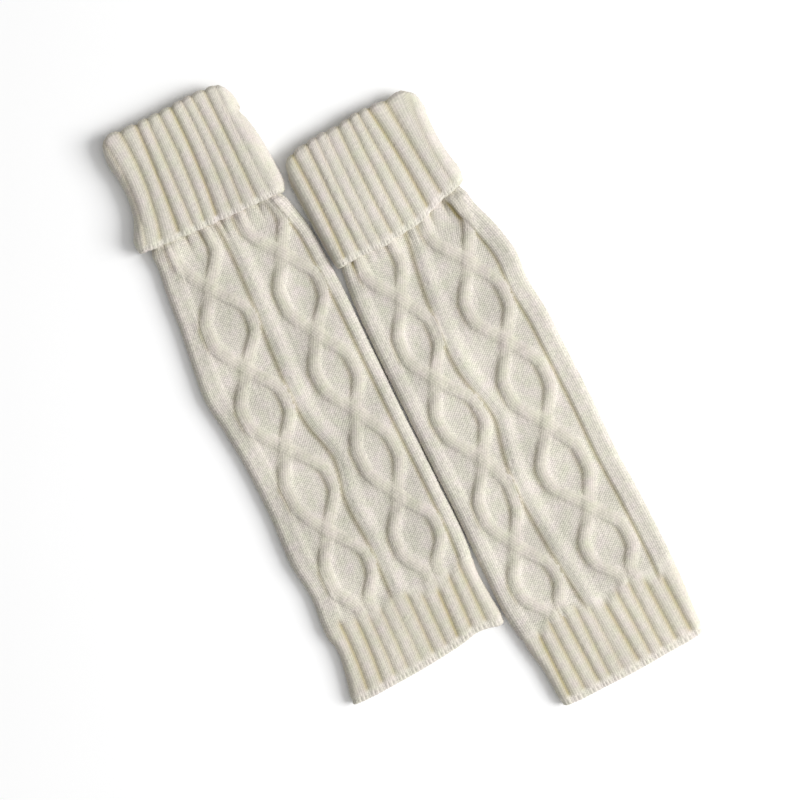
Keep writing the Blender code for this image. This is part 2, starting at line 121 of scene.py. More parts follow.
# A strand is a soft swell with a rounder cord on it
SWELL_SHARE, CORD_SHARE = 0.66, 0.25
SWELL_LEFT, SWELL_RIGHT = 6.3 * MM, 6.2 * MM
SWELL_STEEPENING = 1.1 * MM  # how much narrower its left side is where it runs down to the left
CORD_SLOPE = (3.3 * MM, 5.1 * MM)
TURNED_LEFT, STEEP_LEFT = (-0.7, 0.3), (0.15, 0.6)  # slopes to the left, as the painted shade on its left side grows
CROSSING_LEAST, RIGHTWARD_LEAST = 0.2, 0.25  # the share of that painted shade left at crossings, and on a way to the right
# How much painted shade its yarn gets, and how much more at crossings and on its left
STRAND_PAINTED_SHADE, CROSSING_PAINTED_SHADE, LEFT_PAINTED_SHADE = 0.16, 0.04, 0.3
PARTING = (3 * MM, 9 * MM)  # how far two strands stand from their middle as they part
CROSSING_RISE = 0.42  # of a strand's rise, where it crosses another
CROSSING_LENGTH = 6.5 * MM
STRAND_CREST = 0.4 * MM  # to the right of the cables' places in the tables
STRAND_ENDS_APART = 4.5 * MM  # half the distance between the ends of two strands, above two ribs
SKIN = 0.28 * MM  # how far a strand's sheet stands out of the ground in its middle and sinks at its edges
STRAND_UNDERSIDE = (1.08, 0.4, -0.4, -1.08)  # its places, in half widths of the strand
STRAND_SUNK = 1.4 * MM  # how far below the ground its underside lies
STRAND_OVER, STRAND_UNDER = 0.12 * MM, -0.1 * MM  # how far two strands stand above and below level there
STRAND_END = HEM_START + 11 * MM
CORNER = 0.72  # how far from a crossing to the middle of a diamond the strands part in straight lines
CORNER_ROUNDING = 0.138

# Where the leg comes out from under the cuff, measured from the cuff's edge
COMES_OUT = 2 * MM
LIFT_ENDS = 16 * MM
FULL_ENDS = 12 * MM
GATHER_LENGTH = 11 * MM
GATHER_SPREAD = 0.06  # how much closer the gathers lie than the cuff's ribs
GATHER_MIDDLE = 0.6  # the height of the gathers that lies level with the ground
GATHER_PAINTED_SHADE = 0.6  # how much painted shade lies in their folds
PATTERN_SHOWS, STITCHES_START = (-3 * MM, 5 * MM), (-5 * MM, -2 * MM)

# The yarn's slight drift in hue, as factors of its colour
GREENER, PINKER = (0.94, 1.02, 0.89, 1), (1.06, 0.98, 1.11, 1)

# Straight above the pair, turned as in the photo, with a window at the right and light from the ceiling
CAMERA_PLACE, CAMERA_TURN, CAMERA_LENS = (0.1 * MM, -5.6 * MM, 1.607), math.radians(-26), 110.8
LAMPS = {"window": ((2.6, -1.16, 2.1), 2, 136), "ceiling": ((0.8, -0.7, 2.7), 2.6, 29)}  # place, size, watts

Outline = namedtuple("Outline", "down left right tilt")
Wander = namedtuple("Wander", "down across")
Cables = namedtuple("Cables", "down across swing")
Groove = namedtuple("Groove", "high middle low depth")
Ribbing = namedtuple("Ribbing", "high low grooves")
Shift = namedtuple("Shift", "across down")
Shade = namedtuple("Shade", "place width strength")  # a painted shadow line along something: its place, width and strength across it
LegWarmer = namedtuple(
    "LegWarmer",
    "name middle top_y length cuff_edge tucked_end cuff cuff_ribs fold_drop cuff_wave leg hem_ribs "
    "hem_wave crossings rib cables left_rib right_rib purl_wales",
)

# Painted shade lines: at the foot of the right edge's rib, left of the middle rib, over crossings, and left
# of the strands
RIGHT_SIDE_SHADE = Shade(-0.2 * MM, 1.6 * MM, 0.7)
RIB_SHADE = Shade(-5 * MM, 2.1 * MM, 0.62)
CROSSING_SHADE = Shade(0, 5 * MM, 0.12)
STRAND_SHADE, STEEP_SHADE = Shade(-4.9 * MM, 1.7 * MM, 0.58), Shade(-4 * MM, 1.7 * MM, 0.44)


def in_metres(row_type, rows):
    return [row_type(*(value * MM for value in row)) for row in rows]


def ribbing(high, low, rows):
    """Grooves between ribs: their places across at two distances down and midway, and their depths."""
    grooves = [Groove(*(value * MM for value in row[:3]), row[3]) for row in rows]
    return Ribbing(high * MM, low * MM, grooves)


# Both are laid out in millimetres. tilt is how much lower a knitted row lies at the right-hand edge than
# in the middle, and swing how far a cable's strands stand from the column's middle in its diamonds.
LEFT = LegWarmer(
    name="left",
    middle=-56 * MM,
    top_y=230.8 * MM,
    length=397 * MM,
    cuff_edge=79.5 * MM,
    tucked_end=59 * MM,
    cuff=in_metres(Outline, [
        (0, -102.8, -9.6, 0), (6, -103.6, -9.4, 0), (12, -103.4, -9.6, 0), (19, -103.2, -11.0, 0),
        (28, -101.9, -8.9, 0), (41, -101.7, -6.4, 0), (54, -103.7, -5.4, 0.3),
        (64, -107.6, -4.7, 0.8), (71, -110.8, -4.6, 1.2), (80, -111.2, -6.4, 1.5),
    ]),
    cuff_ribs=ribbing(7, 71, [
        (-97.6, -96.5, -101.9, 0.5), (-86.0, -86.4, -91.7, 0.8), (-75.2, -77.0, -79.8, 1.0),
        (-67.3, -68.6, -69.9, 0.7), (-58.6, -58.9, -61.8, 0.75), (-49.7, -50.2, -53.2, 1.0),
        (-41.5, -41.3, -43.2, 0.6), (-34.6, -33.9, -35.3, 0.7), (-25.5, -25.4, -25.6, 0.8),
        (-18.0, -18.0, -16.6, 0.3), (-12.4, -11.6, -9.8, 0.2),
    ]),
    fold_drop=in_metres(Shift, [
        (-106, 12), (-103.5, 9), (-102, 5.5), (-100, 2.2), (-96, 0.6), (-86, 1.0), (-60, 1.2),
        (-25, 0.9), (-18, 2.0), (-14, 4.0), (-11, 7.5), (-9, 11.5),
    ]),
    cuff_wave=in_metres(Shift, [(-112, -1.5), (-100, -0.5), (-80, 0.2), (-50, 0.6), (-20, 0.4), (-5, 0)]),
    leg=in_metres(Outline, [
        (59, -100.2, -10.6, 0.5), (70, -100.4, -12.2, 1.1), (80, -101.0, -12.0, 1.4),
        (90, -103.0, -8.0, 0.9), (106, -105.6, -3.8, 0), (132, -108.2, -1.9, 0),
        (158, -111.8, -1.2, -0.5), (182, -113.8, -1.1, -1), (200, -111.6, -1.2, -1),
        (236, -108.9, -1.4, -1), (262, -108.6, -1.2, -1), (301, -110.2, -0.9, -1),
        (327, -107.9, -0.8, -1.5), (343, -109.7, -1.8, -2), (350, -109.9, -2.6, -2),
        (361, -107.6, -3.8, -2.5), (379, -109.9, -2.9, -3.5), (392, -113.0, -1.8, -4),
        (398, -114.6, -1.9, -4),
    ]),
    hem_ribs=ribbing(362, 394, [
        (-98.2, -99.2, -101.2, 0.9), (-87.6, -88.6, -90.6, 0.85), (-79.3, -79.8, -80.6, 0.6),
        (-70.1, -70.4, -71.2, 0.6), (-61.0, -60.9, -60.8, 0.45), (-51.0, -51.3, -51.8, 0.75),
        (-41.9, -41.9, -41.9, 0.7), (-31.5, -32.2, -33.2, 1.0), (-21.2, -21.8, -22.6, 0.85),
        (-12.0, -12.0, -12.0, 0.8),
    ]),
    hem_wave=in_metres(Shift, [
        (-112, 0), (-103, 1), (-80, 1.8), (-56, 2), (-35, 1.2), (-16, 0), (-11, 1.4), (-6, 3),
    ]),
    crossings=[down * MM for down in (60, 117, 174, 231, 291.5, 349)],
    rib=in_metres(Wander, [
        (60, -54.0), (83, -52.3), (106, -52.0), (132, -53.0), (171, -56.2), (203, -57.5),
        (226, -56.2), (242, -51.9), (252, -50.4), (262, -51.9), (275, -55.0), (314, -54.4),
        (350, -56.0),
    ]),
    cables=[
        in_metres(Cables, [
            (60, -78.0, 13.0), (88, -77.0, 13.0), (117, -79.0, 14.5), (145, -77.7, 15.0),
            (174, -81.0, 14.8), (202, -80.6, 14.6), (231, -80.8, 14.4), (261, -76.6, 14.3),
            (291, -79.3, 14.4), (320, -77.6, 14.4), (336, -79.2, 14.2), (350, -79.2, 14.0),
            (362, -78.6, 14.0),
        ]),
        in_metres(Cables, [
            (60, -31.5, 9.0), (88, -29.0, 12.4), (117, -27.1, 13.6), (145, -26.2, 13.8),
            (174, -29.6, 13.0), (202, -29.0, 12.4), (231, -28.7, 12.0), (261, -27.8, 11.9),
            (291, -28.3, 12.8), (320, -28.0, 14.6), (336, -29.2, 14.6), (350, -29.8, 14.0),
            (362, -31.4, 14.0),
        ]),
    ],
    left_rib=13.2 * MM,
    right_rib=7.4 * MM,
    purl_wales=(18, 20),
)

RIGHT = LegWarmer(
    name="right",
    middle=54 * MM,
    top_y=173.4 * MM,
    length=402.2 * MM,
    cuff_edge=77.5 * MM,
    tucked_end=59 * MM,
    cuff=in_metres(Outline, [
        (0, -1.0, 97.4, -5), (8, -2.5, 98.5, -5.2), (18, -2.6, 98.3, -5.5), (28, -2.4, 97.6, -5.5),
        (42, -1.8, 97.8, -5.5), (55, -1.2, 99.1, -5.5), (70, -0.3, 101.4, -5.5),
        (78, 0.2, 100.8, -5.5),
    ]),
    cuff_ribs=ribbing(7, 71, [
        (-1.9, -0.7, 0.4, 0.6), (8.0, 9.2, 8.9, 1.0), (18.5, 18.5, 18.9, 0.8),
        (25.6, 25.4, 26.4, 0.5), (33.3, 33.5, 34.0, 0.5), (41.6, 41.6, 43.0, 0.75),
        (50.4, 50.9, 52.1, 0.7), (57.7, 59.5, 61.6, 0.7), (65.6, 69.2, 71.4, 1.0),
        (77.2, 79.7, 82.8, 0.85), (91.4, 89.8, 92.2, 0.4),
    ]),
    fold_drop=in_metres(Shift, [
        (-5, 9), (-2, 5.5), (1, 3.4), (6, 1.6), (14, 0.6), (28, 0.2), (41, 1.2), (55, 0.4),
        (66, 1.6), (77, 3.2), (86, 3.4), (92, 5.2), (96, 8.6), (98, 11), (101, 15),
    ]),
    cuff_wave=in_metres(Shift, [
        (-1, 1.4), (12, 1.7), (28, 3.4), (36, 4.7), (46, 4.1), (56, 4.0), (65, 3.8), (74, 1.0),
        (81, -1.0), (93, -2.8), (101, -4.6),
    ]),
    leg=in_metres(Outline, [
        (59, 4.4, 94.2, -5.5), (74, 5.6, 95.2, -5.5), (80, 5.0, 96.4, -5.3), (88, 3.0, 99.4, -4.5),
        (98, 1.7, 103.4, -4), (110, 0.8, 107.0, -3.5), (125, 0.2, 110.0, -3),
        (146, 0.0, 109.4, -2.5), (170, 0.0, 111.5, -2.5), (195, 0.1, 112.1, -3),
        (235, 0.3, 112.8, -3), (270, 0.6, 112.5, -2.5), (300, 0.2, 113.8, -2),
        (330, 0.4, 114.6, -2), (348, 2.4, 114.7, -2), (362, 4.6, 114.2, -2), (373, 7.0, 113.5, -2),
        (387, 8.2, 112.7, -2), (402, 9.0, 112.0, -2.2),
    ]),
    hem_ribs=ribbing(362, 394, [
        (15.0, 15.2, 15.4, 1.0), (24.8, 25.4, 26.2, 0.8), (34.8, 35.6, 36.6, 0.85),
        (43.9, 44.1, 44.5, 0.7), (52.6, 53.2, 54.0, 0.5), (62.8, 64.1, 65.6, 0.9),
        (72.7, 73.6, 74.4, 0.75), (82.1, 82.6, 83.3, 0.75), (92.3, 93.0, 93.7, 0.85),
        (103.6, 104.1, 104.8, 0.9),
    ]),
    hem_wave=in_metres(Shift, [(8, 0.6), (14, 1.2), (40, 2), (64, 2.4), (85, 1.8), (105, 1.4), (113, 0.6)]),
    crossings=[down * MM for down in (60, 119, 175.5, 236, 295.5, 349)],
    rib=in_metres(Wander, [
        (60, 54.0), (88, 54.9), (107, 51.9), (127, 49.2), (146, 47.8), (166, 46.4), (179, 47.2),
        (192, 49.8), (205, 53.4), (218, 54.7), (231, 51.9), (244, 49.2), (257, 47.4), (283, 47.9),
        (309, 49.7), (350, 54.2),
    ]),
    cables=[
        in_metres(Cables, [
            (60, 29.0, 12.5), (90, 28.0, 12.6), (119, 29.6, 12.4), (147, 28.2, 12.2),
            (175, 26.4, 13.0), (206, 30.2, 13.8), (236, 31.6, 12.6), (266, 27.4, 11.6),
            (295, 26.0, 12.0), (322, 28.4, 13.4), (336, 29.5, 13.4), (350, 32.4, 13.0),
            (362, 34.6, 13.0),
        ]),
        in_metres(Cables, [
            (60, 77.0, 13.0), (90, 77.4, 13.4), (119, 79.4, 13.4), (147, 78.6, 13.4),
            (175, 79.0, 13.8), (206, 79.0, 14.0), (236, 78.8, 14.0), (266, 76.9, 14.0),
            (295, 80.2, 14.0), (322, 80.8, 14.4), (336, 81.8, 14.4), (350, 83.0, 14.0),
            (362, 82.3, 14.0),
        ]),
    ],
    left_rib=9.6 * MM,
    right_rib=12.4 * MM,
    purl_wales=(17, 21),
)

WARMERS = (LEFT, RIGHT)


def length(name, description, millimetres):
    return FloatProperty(name=name, description=description, default=millimetres * MM, unit="LENGTH")


def colour(name, description, value):
    return FloatVectorProperty(
        name=name, description=description, default=value, size=3, min=0, max=1, subtype="COLOR"
    )


class KnitSizes(bpy.types.PropertyGroup):
    wall: length("Wall", "Thickness of the purl ground", 2.6)
    slit: length("Slit", "Least air between front and back", 1.2)
    layer_gap: length("Layer gap", "Air between the cuff and the tube in it", 0.4)
    leg_thickness: length("Leg thickness", "A leg's walls and its air", 7.6)
    course: length("Course", "Height of a row of stitches", 1.7)
    stitch_rise: length("Stitch rise", "How far a knit stitch stands up", 0.42)
    purl_rise: length("Purl rise", "How far a purl bump stands up", 0.4)
    cable_rise: length("Cable rise", "How far a cable's strand stands out", 2.5)
    cable_half: length("Cable half width", "Half a strand's width", 4.6)
    rib_rise: length("Rib rise", "Height of a rib", 2.1)
    side_rise: length("Side rise", "Height of the ribs along the edges", 1.1)
    puff: length("Puff", "How far the ground swells inside a diamond", 0.4)
    gather: length("Gather", "Depth of the gathers under the cuff", 1.9)


class YarnLooks(bpy.types.PropertyGroup):
    yarn: colour("Yarn", "The yarn's colour", (0.686, 0.648, 0.569))
    # The shaded yarn is painted shade: a darker, warmer yarn colour standing in for shade and warm bounced
    # light in grooves and beside ribs and strands
    shaded_yarn: colour("Shaded yarn", "The yarn deep between the ribs", (0.365, 0.307, 0.152))
    floor: colour("Floor", "The floor's colour", (0.98, 0.98, 0.98))


def read(table, column, down, key="down"):
    """A column of a table at some distances down, on a smooth curve through the table's rows."""
    at = np.array([getattr(row, key) for row in table])
    value = np.array([getattr(row, column) for row in table])
    slope = np.gradient(value, at)
    i = np.clip(np.searchsorted(at, down) - 1, 0, len(at) - 2)
    span = at[i + 1] - at[i]
    t = np.clip((down - at[i]) / span, 0, 1)
    return (
        value[i] * (1 + 2 * t) * (1 - t) ** 2
        + slope[i] * span * t * (1 - t) ** 2
        + value[i + 1] * t * t * (3 - 2 * t)
        - slope[i + 1] * span * t * t * (1 - t)
    )


def ease(value, start, end):
    """0 before start, 1 after end, and a smooth step between them."""
    t = np.clip((value - start) / (end - start), 0, 1)
    return t * t * (3 - 2 * t)


def blend(low, high, share):
    return low + (high - low) * share


def hill(distance, width):
    return np.exp(-((distance / width) ** 2))


# The strength of a painted shadow line at a distance across it
def painted_shade_line(distance, shade):
    return shade.strength * hill(distance - shade.place, shade.width)


class Tube:
    """A flattened tube's ground at each row: edges, bottom, thickness, and distances round it."""

    def __init__(self, left, right, bottom, thickness):
        self.left, self.right, self.bottom, self.thickness = left, right, bottom, thickness
        self.radius = thickness / 2
        self.quarter = math.pi / 2 * self.radius
        self.flat = right - left - thickness

    def round_at(self, across):
        """The distance round the tube, from its left edge over the top, of a place on top."""
        return self.quarter + across - (self.left + self.radius)

    def across_at(self, girth):
        """The place across that a distance round the tube has when its top is rolled out flat."""
        return self.left + self.radius + girth - self.quarter

    def worked(self):
        """The distances round the tube between which it has stitches and ribs."""
        past = WORKED_EDGE * self.quarter
        return -past, 2 * self.quarter + past + self.flat

    def on_front(self, girth):
        """1 on the front, fading to 0 where the stitches end below its edges."""
        start, end = self.worked()
        past = WORKED_EDGE * self.quarter
        return ease(girth, start, 0) * ease(end - girth, 0, past)

    def rows(self, pick):
        return Tube(*(edge[pick] for edge in (self.left, self.right, self.bottom, self.thickness)))

    def point(self, girth, out):
        """X and Z of the points at a distance round the tube and a distance out of its ground."""
        top_end = self.quarter + self.flat
        under = top_end + 2 * self.quarter
        on_left, on_right = girth < self.quarter, girth > top_end
        below = girth > under
        angle = np.where(on_left, math.pi - girth / self.radius, math.pi / 2)
        angle = np.where(on_right, math.pi / 2 - (girth - top_end) / self.radius, angle)
        angle = np.where(below, -math.pi / 2, angle)
        base = np.where(on_left, self.left + self.radius, self.across_at(girth))
        base = np.where(on_right, self.right - self.radius, base)
        base = np.where(below, self.right - self.radius - (girth - under), base)
        reach = self.radius + out
        return base + np.cos(angle) * reach, self.bottom + self.radius + np.sin(angle) * reach


def leg_tube(warmer, down, sizes):
    past_edge = down - warmer.cuff_edge
    relief = ease(past_edge, COMES_OUT, FULL_ENDS)
    lift = (sizes.wall + sizes.layer_gap) * (1 - ease(past_edge, COMES_OUT, LIFT_ENDS))
    tucked = 2 * sizes.wall + sizes.slit
    thickness = tucked + (sizes.leg_thickness - tucked) * relief
    left = read(warmer.leg, "left", down) + sizes.side_rise * relief
    right = read(warmer.leg, "right", down) - sizes.side_rise * relief
    return Tube(left, right, lift, thickness)


def cuff_tube(warmer, down, sizes):
    thickness = 4 * sizes.wall + 2 * sizes.layer_gap + sizes.slit
    left = read(warmer.cuff, "left", down) + sizes.rib_rise
    right = read(warmer.cuff, "right", down) - sizes.rib_rise
    return Tube(left, right, np.zeros_like(down), thickness)


def placed(warmer, outline, down, across, height, forward=0.0):
    """Points in the model's frame, where a knitted row may lie tilted on the floor."""
    slope = read(outline, "tilt", down) / HALF_WIDTH
    row = warmer.top_y - down - CENTRE[1] - slope * (across - warmer.middle) + forward
    return np.stack(np.broadcast_arrays(across - CENTRE[0], row, height), axis=-1)


def stitches(wale, knit, course, sizes, seed):
    """How far each point of a knitted field stands out, and how far it moves down.

    wale and knit have a value for each column and course for each row. A knit wale is a column of V's
    and a purl wale one of interlocked bumps.
    """
    part = wale % 1
    legs = 0.5 - 0.5 * np.cos(4 * math.pi * part)
    beat = 0.5 + 0.5 * np.cos(2 * math.pi * course)
    knit_out = blend(LEAST_KNIT, 1, legs) * blend(LEAST_BEAT, 1, beat)
    rising, falling = (np.cos(2 * math.pi * (course + way * wale)) for way in (1, -1))
    purl_out = 0.5 + 0.5 * blend(falling, rising, PURL_SLANT)
    out = np.where(knit, knit_out * sizes.stitch_rise, purl_out * sizes.purl_rise)
    sunk = np.where(knit, VEE_DROP * (1 - 2 * np.abs(part - 0.5)), 0) * sizes.course
    which_wale, which_course = (np.floor(place).astype(int) for place in (wale, course))
    which_wale, which_course = which_wale - which_wale.min(), which_course - which_course.min()
    shape = (which_course.max() + 1, which_wale.max() + 1)
    table = 1 + STITCH_UNEVENNESS * np.random.default_rng(seed).standard_normal(shape)
    return out * np.clip(table[which_course, which_wale], 0.5, 1.5), sunk


def groove_lines(ribs, down):
    """The places across of the grooves at each row, on a gentle curve through each groove's places."""
    high, middle, low = np.array([groove[:3] for groove in ribs.grooves]).T
    t = np.clip((down - (ribs.high + ribs.low) / 2) / ((ribs.low - ribs.high) / 2), -1.4, 1.4)
    lines = middle + (low - high) / 2 * t + ((low + high) / 2 - middle) * t**2
    steps = EXTRA_SPACING * np.arange(1, EXTRA_GROOVES + 1)
    return np.concatenate([lines[:, :1] - steps[::-1], lines, lines[:, -1:] + steps], axis=1)


def groove_depths(ribs):
    extra = [EXTRA_DEPTH] * EXTRA_GROOVES
    return np.array([*extra, *(groove.depth for groove in ribs.grooves), *extra])


def ribbed(ribs, across, down):
    """A ribbed front's height at each place, from 0 in the deepest grooves to 1 on the ribs."""
    lines, depths = groove_lines(ribs, down), groove_depths(ribs)
    marks = np.arange(lines.shape[1])
    lines = np.broadcast_to(lines, (len(across), len(marks)))
    place = np.array([np.interp(row, line, marks) for row, line in zip(across, lines)])
    nearest = depths[np.clip(np.round(place), 0, len(depths) - 1).astype(int)]
    return 1 - nearest * (1 - np.sin(math.pi * (place % 1)) ** RIB_ROUNDNESS)


def between_ribs(ribs, across, down):
    """How deep between two ribs each place lies, for the painted shade there, which is darkest a little to
    each groove's left.
    """
    return 1 - ribbed(ribs, across + GROOVE_SHADE, down)


def flattened(ribs, edge, loss, rise):
    """Ribs' heights as edge goes to 1, where they lose a share of their height and the cloth rises."""
    return ribs * (1 - loss * edge) + rise * edge


def cornered(share):
    """From 0 to 1 as share does, straight up to a rounded corner and nearly level after it."""
    low, here, high = (
        bend - np.hypot(bend - 1, CORNER_ROUNDING) for bend in (0.0, share / CORNER, 1 / CORNER)
    )
    return (here - low) / (high - low)


def swing(warmer, cables, down):
    """How far a column's strand stands from the column's axis: it changes sign at a crossing."""
    phase = np.interp(down, warmer.crossings, np.arange(len(warmer.crossings)))
    from_crossing = 1 - np.abs(2 * (phase % 1) - 1)
    side = np.where(np.floor(phase) % 2 < 1, 1.0, -1.0)
    reach = side * read(cables, "swing", down) * cornered(from_crossing)
    last_side = math.sin(math.pi * (len(warmer.crossings) - 1.5))
    apart = STRAND_ENDS_APART * ease(down, HEM_START - 16 * MM, HEM_START)
    return np.where(apart > 0, last_side * np.hypot(reach, apart), reach)


def strand_relief(away, leftward, parted, sizes):
    """How far a strand stands out, and its painted shade, at a distance from its middle.

    leftward is how steeply it runs down to the left, and parted how far it has left its crossing.
    """
    turned, steep = ease(leftward, *TURNED_LEFT), ease(leftward, *STEEP_LEFT)
    from_crest = away - STRAND_CREST
    left_side = hill(from_crest, SWELL_LEFT - SWELL_STEEPENING * turned)
    swell = np.where(from_crest < 0, left_side, hill(from_crest, SWELL_RIGHT))
    cord = 1 - ease(np.abs(from_crest), *CORD_SLOPE)
    out = sizes.cable_rise * (SWELL_SHARE * swell + CORD_SHARE * cord) * blend(CROSSING_RISE, 1, parted)
    foot = Shade(*(blend(gentle, sharp, steep) for gentle, sharp in zip(STRAND_SHADE, STEEP_SHADE)))
    shade = painted_shade_line(away, foot) * blend(CROSSING_LEAST, 1, parted) * blend(RIGHTWARD_LEAST, 1, turned)
    return out, shade + painted_shade_line(away, CROSSING_SHADE) * (1 - parted)


def leg_relief(warmer, across, down, tube, sizes):
    """How far the leg's front stands out of its ground, without stitches, and how much painted shade it gets.

    A rib or strand has painted shade on its left and slopes off gently to the right.
    """
    past_edge = down - warmer.cuff_edge
    into_right = across - (tube.right - warmer.right_rib)
    out = sizes.side_rise * ease(tube.left + warmer.left_rib - across, *LEFT_SIDE_SLOPE)
    out += sizes.side_rise * ease(into_right, *RIGHT_SIDE_SLOPE)
    shade = painted_shade_line(into_right, RIGHT_SIDE_SHADE)
    from_rib = across - read(warmer.rib, "across", down)
    front = blend(ease(from_rib, *RIB_FRONT), ease(from_rib, *RIB_FOOT), RIB_FOOT_SHARE)
    out += sizes.rib_rise * front * (1 - ease(from_rib, *RIB_BACK))
    shade += painted_shade_line(from_rib, RIB_SHADE)
    for cables in warmer.cables:
        reach = swing(warmer, cables, down)
        from_axis = across - read(cables, "across", down)
        parted = ease(np.abs(reach), *PARTING)
        out += sizes.puff * parted * (1 - ease(np.abs(from_axis), 0, np.abs(reach) + 1 * MM))
        ahead, behind = (swing(warmer, cables, down + way * 0.5 * MM) for way in (1, -1))
        heading = (ahead - behind) / MM
        for side in (-1, 1):
            away = (from_axis - side * reach) / np.sqrt(1 + heading**2)
            strand_out, strand_shade = strand_relief(away, -side * heading, parted, sizes)
            out += strand_out
            shade += strand_shade
    shown = ease(past_edge, *PATTERN_SHOWS)
    fading = hill(np.maximum(past_edge, 0), GATHER_LENGTH)
    lowest = np.full_like(down, warmer.cuff_ribs.low)
    gathers = ribbed(warmer.cuff_ribs, across + GATHER_SPREAD * (across - warmer.middle), lowest)
    out = (out + softness(across, down)) * shown + fading * sizes.gather * (gathers - GATHER_MIDDLE)
    return out, np.clip(shade * shown + GATHER_PAINTED_SHADE * fading * (1 - gathers), 0, 1)


def softness(across, down):
    """The cloth's own slight waves, which never repeat in step."""
    bent = np.sin(across / (9.1 * MM) + 1.3 * np.sin(down / (23 * MM)))
    return 0.22 * MM * bent * np.sin(down / (17 * MM) + across / (31 * MM))


def towards_edge(down, edge, ending):
    """0 in the cloth and 1 where it has ended in a free edge."""
    return ease(down, *(edge - distance for distance in ending))


def hem_share(across, down):
    """How far the hem's ribs have grown, from 0 in the leg to 1. They start unevenly."""
    wander = 4 * np.sin(across / (7.3 * MM)) - 3 * np.sin(across / (19 * MM)) - 3
    start = HEM_START + wander * MM
    return ease(down, start, start + RIBS_GROW)


def front_relief(warmer, across, down, tube, sizes):
    """The leg's relief running on into the hem's ribs, and the painted shade at each place, which in the hem
    is darkest in its grooves.
    """
    share = hem_share(across, down)
    edge = towards_edge(down, warmer.length, HEM_RIBS_END)
    ribs = flattened(ribbed(warmer.hem_ribs, across, down), edge, loss=0.65, rise=0.15)
    depth = blend(HEM_LEAST_SHADE, 1, between_ribs(warmer.hem_ribs, across, down)) * (1 - edge)
    leg, shade = leg_relief(warmer, across, down, tube, sizes)
    return blend(leg, HEM_RIB_SHARE * sizes.rib_rise * ribs, share), blend(shade, depth, share)


def leg_stitches(warmer, wale, knit, down, sizes, seed):
    """A leg's stitches, flattened where leg and hem run on under each other, so that neither shows an end."""
    fade = 1 - 0.8 * hill(down - HEM_START, 1.5 * MM)
    fine, sunk = stitches(wale, knit, (down - warmer.cuff_edge) / sizes.course, sizes, seed)
    return fine * fade, sunk * fade


def chain(wale, rise):
    """The chain of loops along a free edge."""
    return rise * np.cos(2 * math.pi * wale)


def nothing_selected():
    if bpy.context.object and bpy.context.object.mode != "OBJECT":
        bpy.ops.object.mode_set(mode="OBJECT")
    bpy.ops.object.select_all(action="DESELECT")


def knitted(name, rings, wale, course, depth, knit, closed_rows=True):
    """A flat grid of cloth rolled into a closed wall through the rings of points.

    wale, course and depth are carried by the points: the first two as the cloth's own UV map, and depth as
    the painted shade that darkens and warms the yarn's colour.
    """
    rows, columns = rings.shape[:2]
    last_row = rows if closed_rows else rows - 1
    nothing_selected()
    bpy.ops.mesh.primitive_grid_add(x_subdivisions=columns, y_subdivisions=last_row, size=1)
    piece = bpy.context.object
    piece.name = piece.data.name = name
    mesh = piece.data
    down_index = np.arange(last_row + 1) % rows
    round_index = np.arange(columns + 1) % columns
    if len(mesh.vertices) != len(down_index) * len(round_index):
        raise RuntimeError(f"{name}: the grid has {len(mesh.vertices)} points")
    points = rings[down_index][:, round_index]
    mesh.vertices.foreach_set("co", points.ravel())
    corner = np.empty(len(mesh.loops), dtype=np.int32)
    mesh.loops.foreach_get("vertex_index", corner)
    around = np.concatenate([wale, [wale[-1] + (wale[1] - wale[0])]])
    along = np.concatenate([course, [course[-1]]])[: last_row + 1]
    stitch = np.stack(np.meshgrid(around, along), axis=-1).reshape(-1, 2)
    mesh.uv_layers.active.name = "stitches"
    mesh.uv_layers.active.data.foreach_set("uv", stitch[corner].ravel())
    knit = np.broadcast_to(knit, rings.shape[:2])
    for label, values in (("depth", depth), ("knit", knit)):
        carried = mesh.attributes.new(label, "FLOAT", "POINT")
        carried.data.foreach_set("value", values[down_index][:, round_index].astype(float).ravel())
    mesh.update()
    bpy.ops.object.mode_set(mode="EDIT")
    bpy.ops.mesh.select_all(action="SELECT")
    bpy.ops.mesh.remove_doubles(threshold=0.00001)
    bpy.ops.mesh.normals_make_consistent(inside=False)
    bpy.ops.object.mode_set(mode="OBJECT")
    bpy.ops.object.shade_smooth()
    return piece


def dressed(piece, material, *nodes):
    piece.data.materials.clear()
    piece.data.materials.append(material)
    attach(piece, "root")
    if nodes:
        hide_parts(*nodes)


def spread_columns(spans):
    """Column by column: the span it lies in, how far across it, its wale and whether it is knit.

    spans lists (wales, knit) from left to right.
    """
    wales, knit = (np.array(values) for values in zip(*spans))
    points = wales * np.where(knit, KNIT_POINTS, PURL_POINTS)
    span = np.repeat(np.arange(len(spans)), points)
    share = np.concatenate([np.arange(count) / count for count in points])
    first = np.cumsum(wales) - wales
    return span, share, first[span] + share * wales[span], knit[span]


def with_underside(tube, girth):
    """Adds the few columns that lie flat on the floor."""
    start = 3 * tube.quarter + tube.flat
    shares = np.linspace(0, 1, UNDERSIDE_POINTS)
    return np.concatenate([girth, start + shares * tube.flat], axis=1)


def underside_stitches(wale, knit):
    """The columns' wales and knit flags, run on over the plain underside."""
    further = UNDERSIDE_WALES * np.arange(1, UNDERSIDE_POINTS + 1)
    return np.append(wale, wale[-1] + further), np.append(knit, [False] * UNDERSIDE_POINTS)


def padded(values, value=0.0):
    """Adds the underside's columns, all of one value."""
    return np.append(values, np.full((len(values), UNDERSIDE_POINTS), value), axis=1)


def dense_rows(start, end, sizes):
    step = sizes.course / ROWS_PER_COURSE
    return start + step * np.arange(round((end - start) / step) + 1)


def inside_rows(count, kept):
    """Which rows of the outside the plain inside repeats, from the last one up."""
    return np.linspace(0, count - 1, kept).round().astype(int)[::-1]


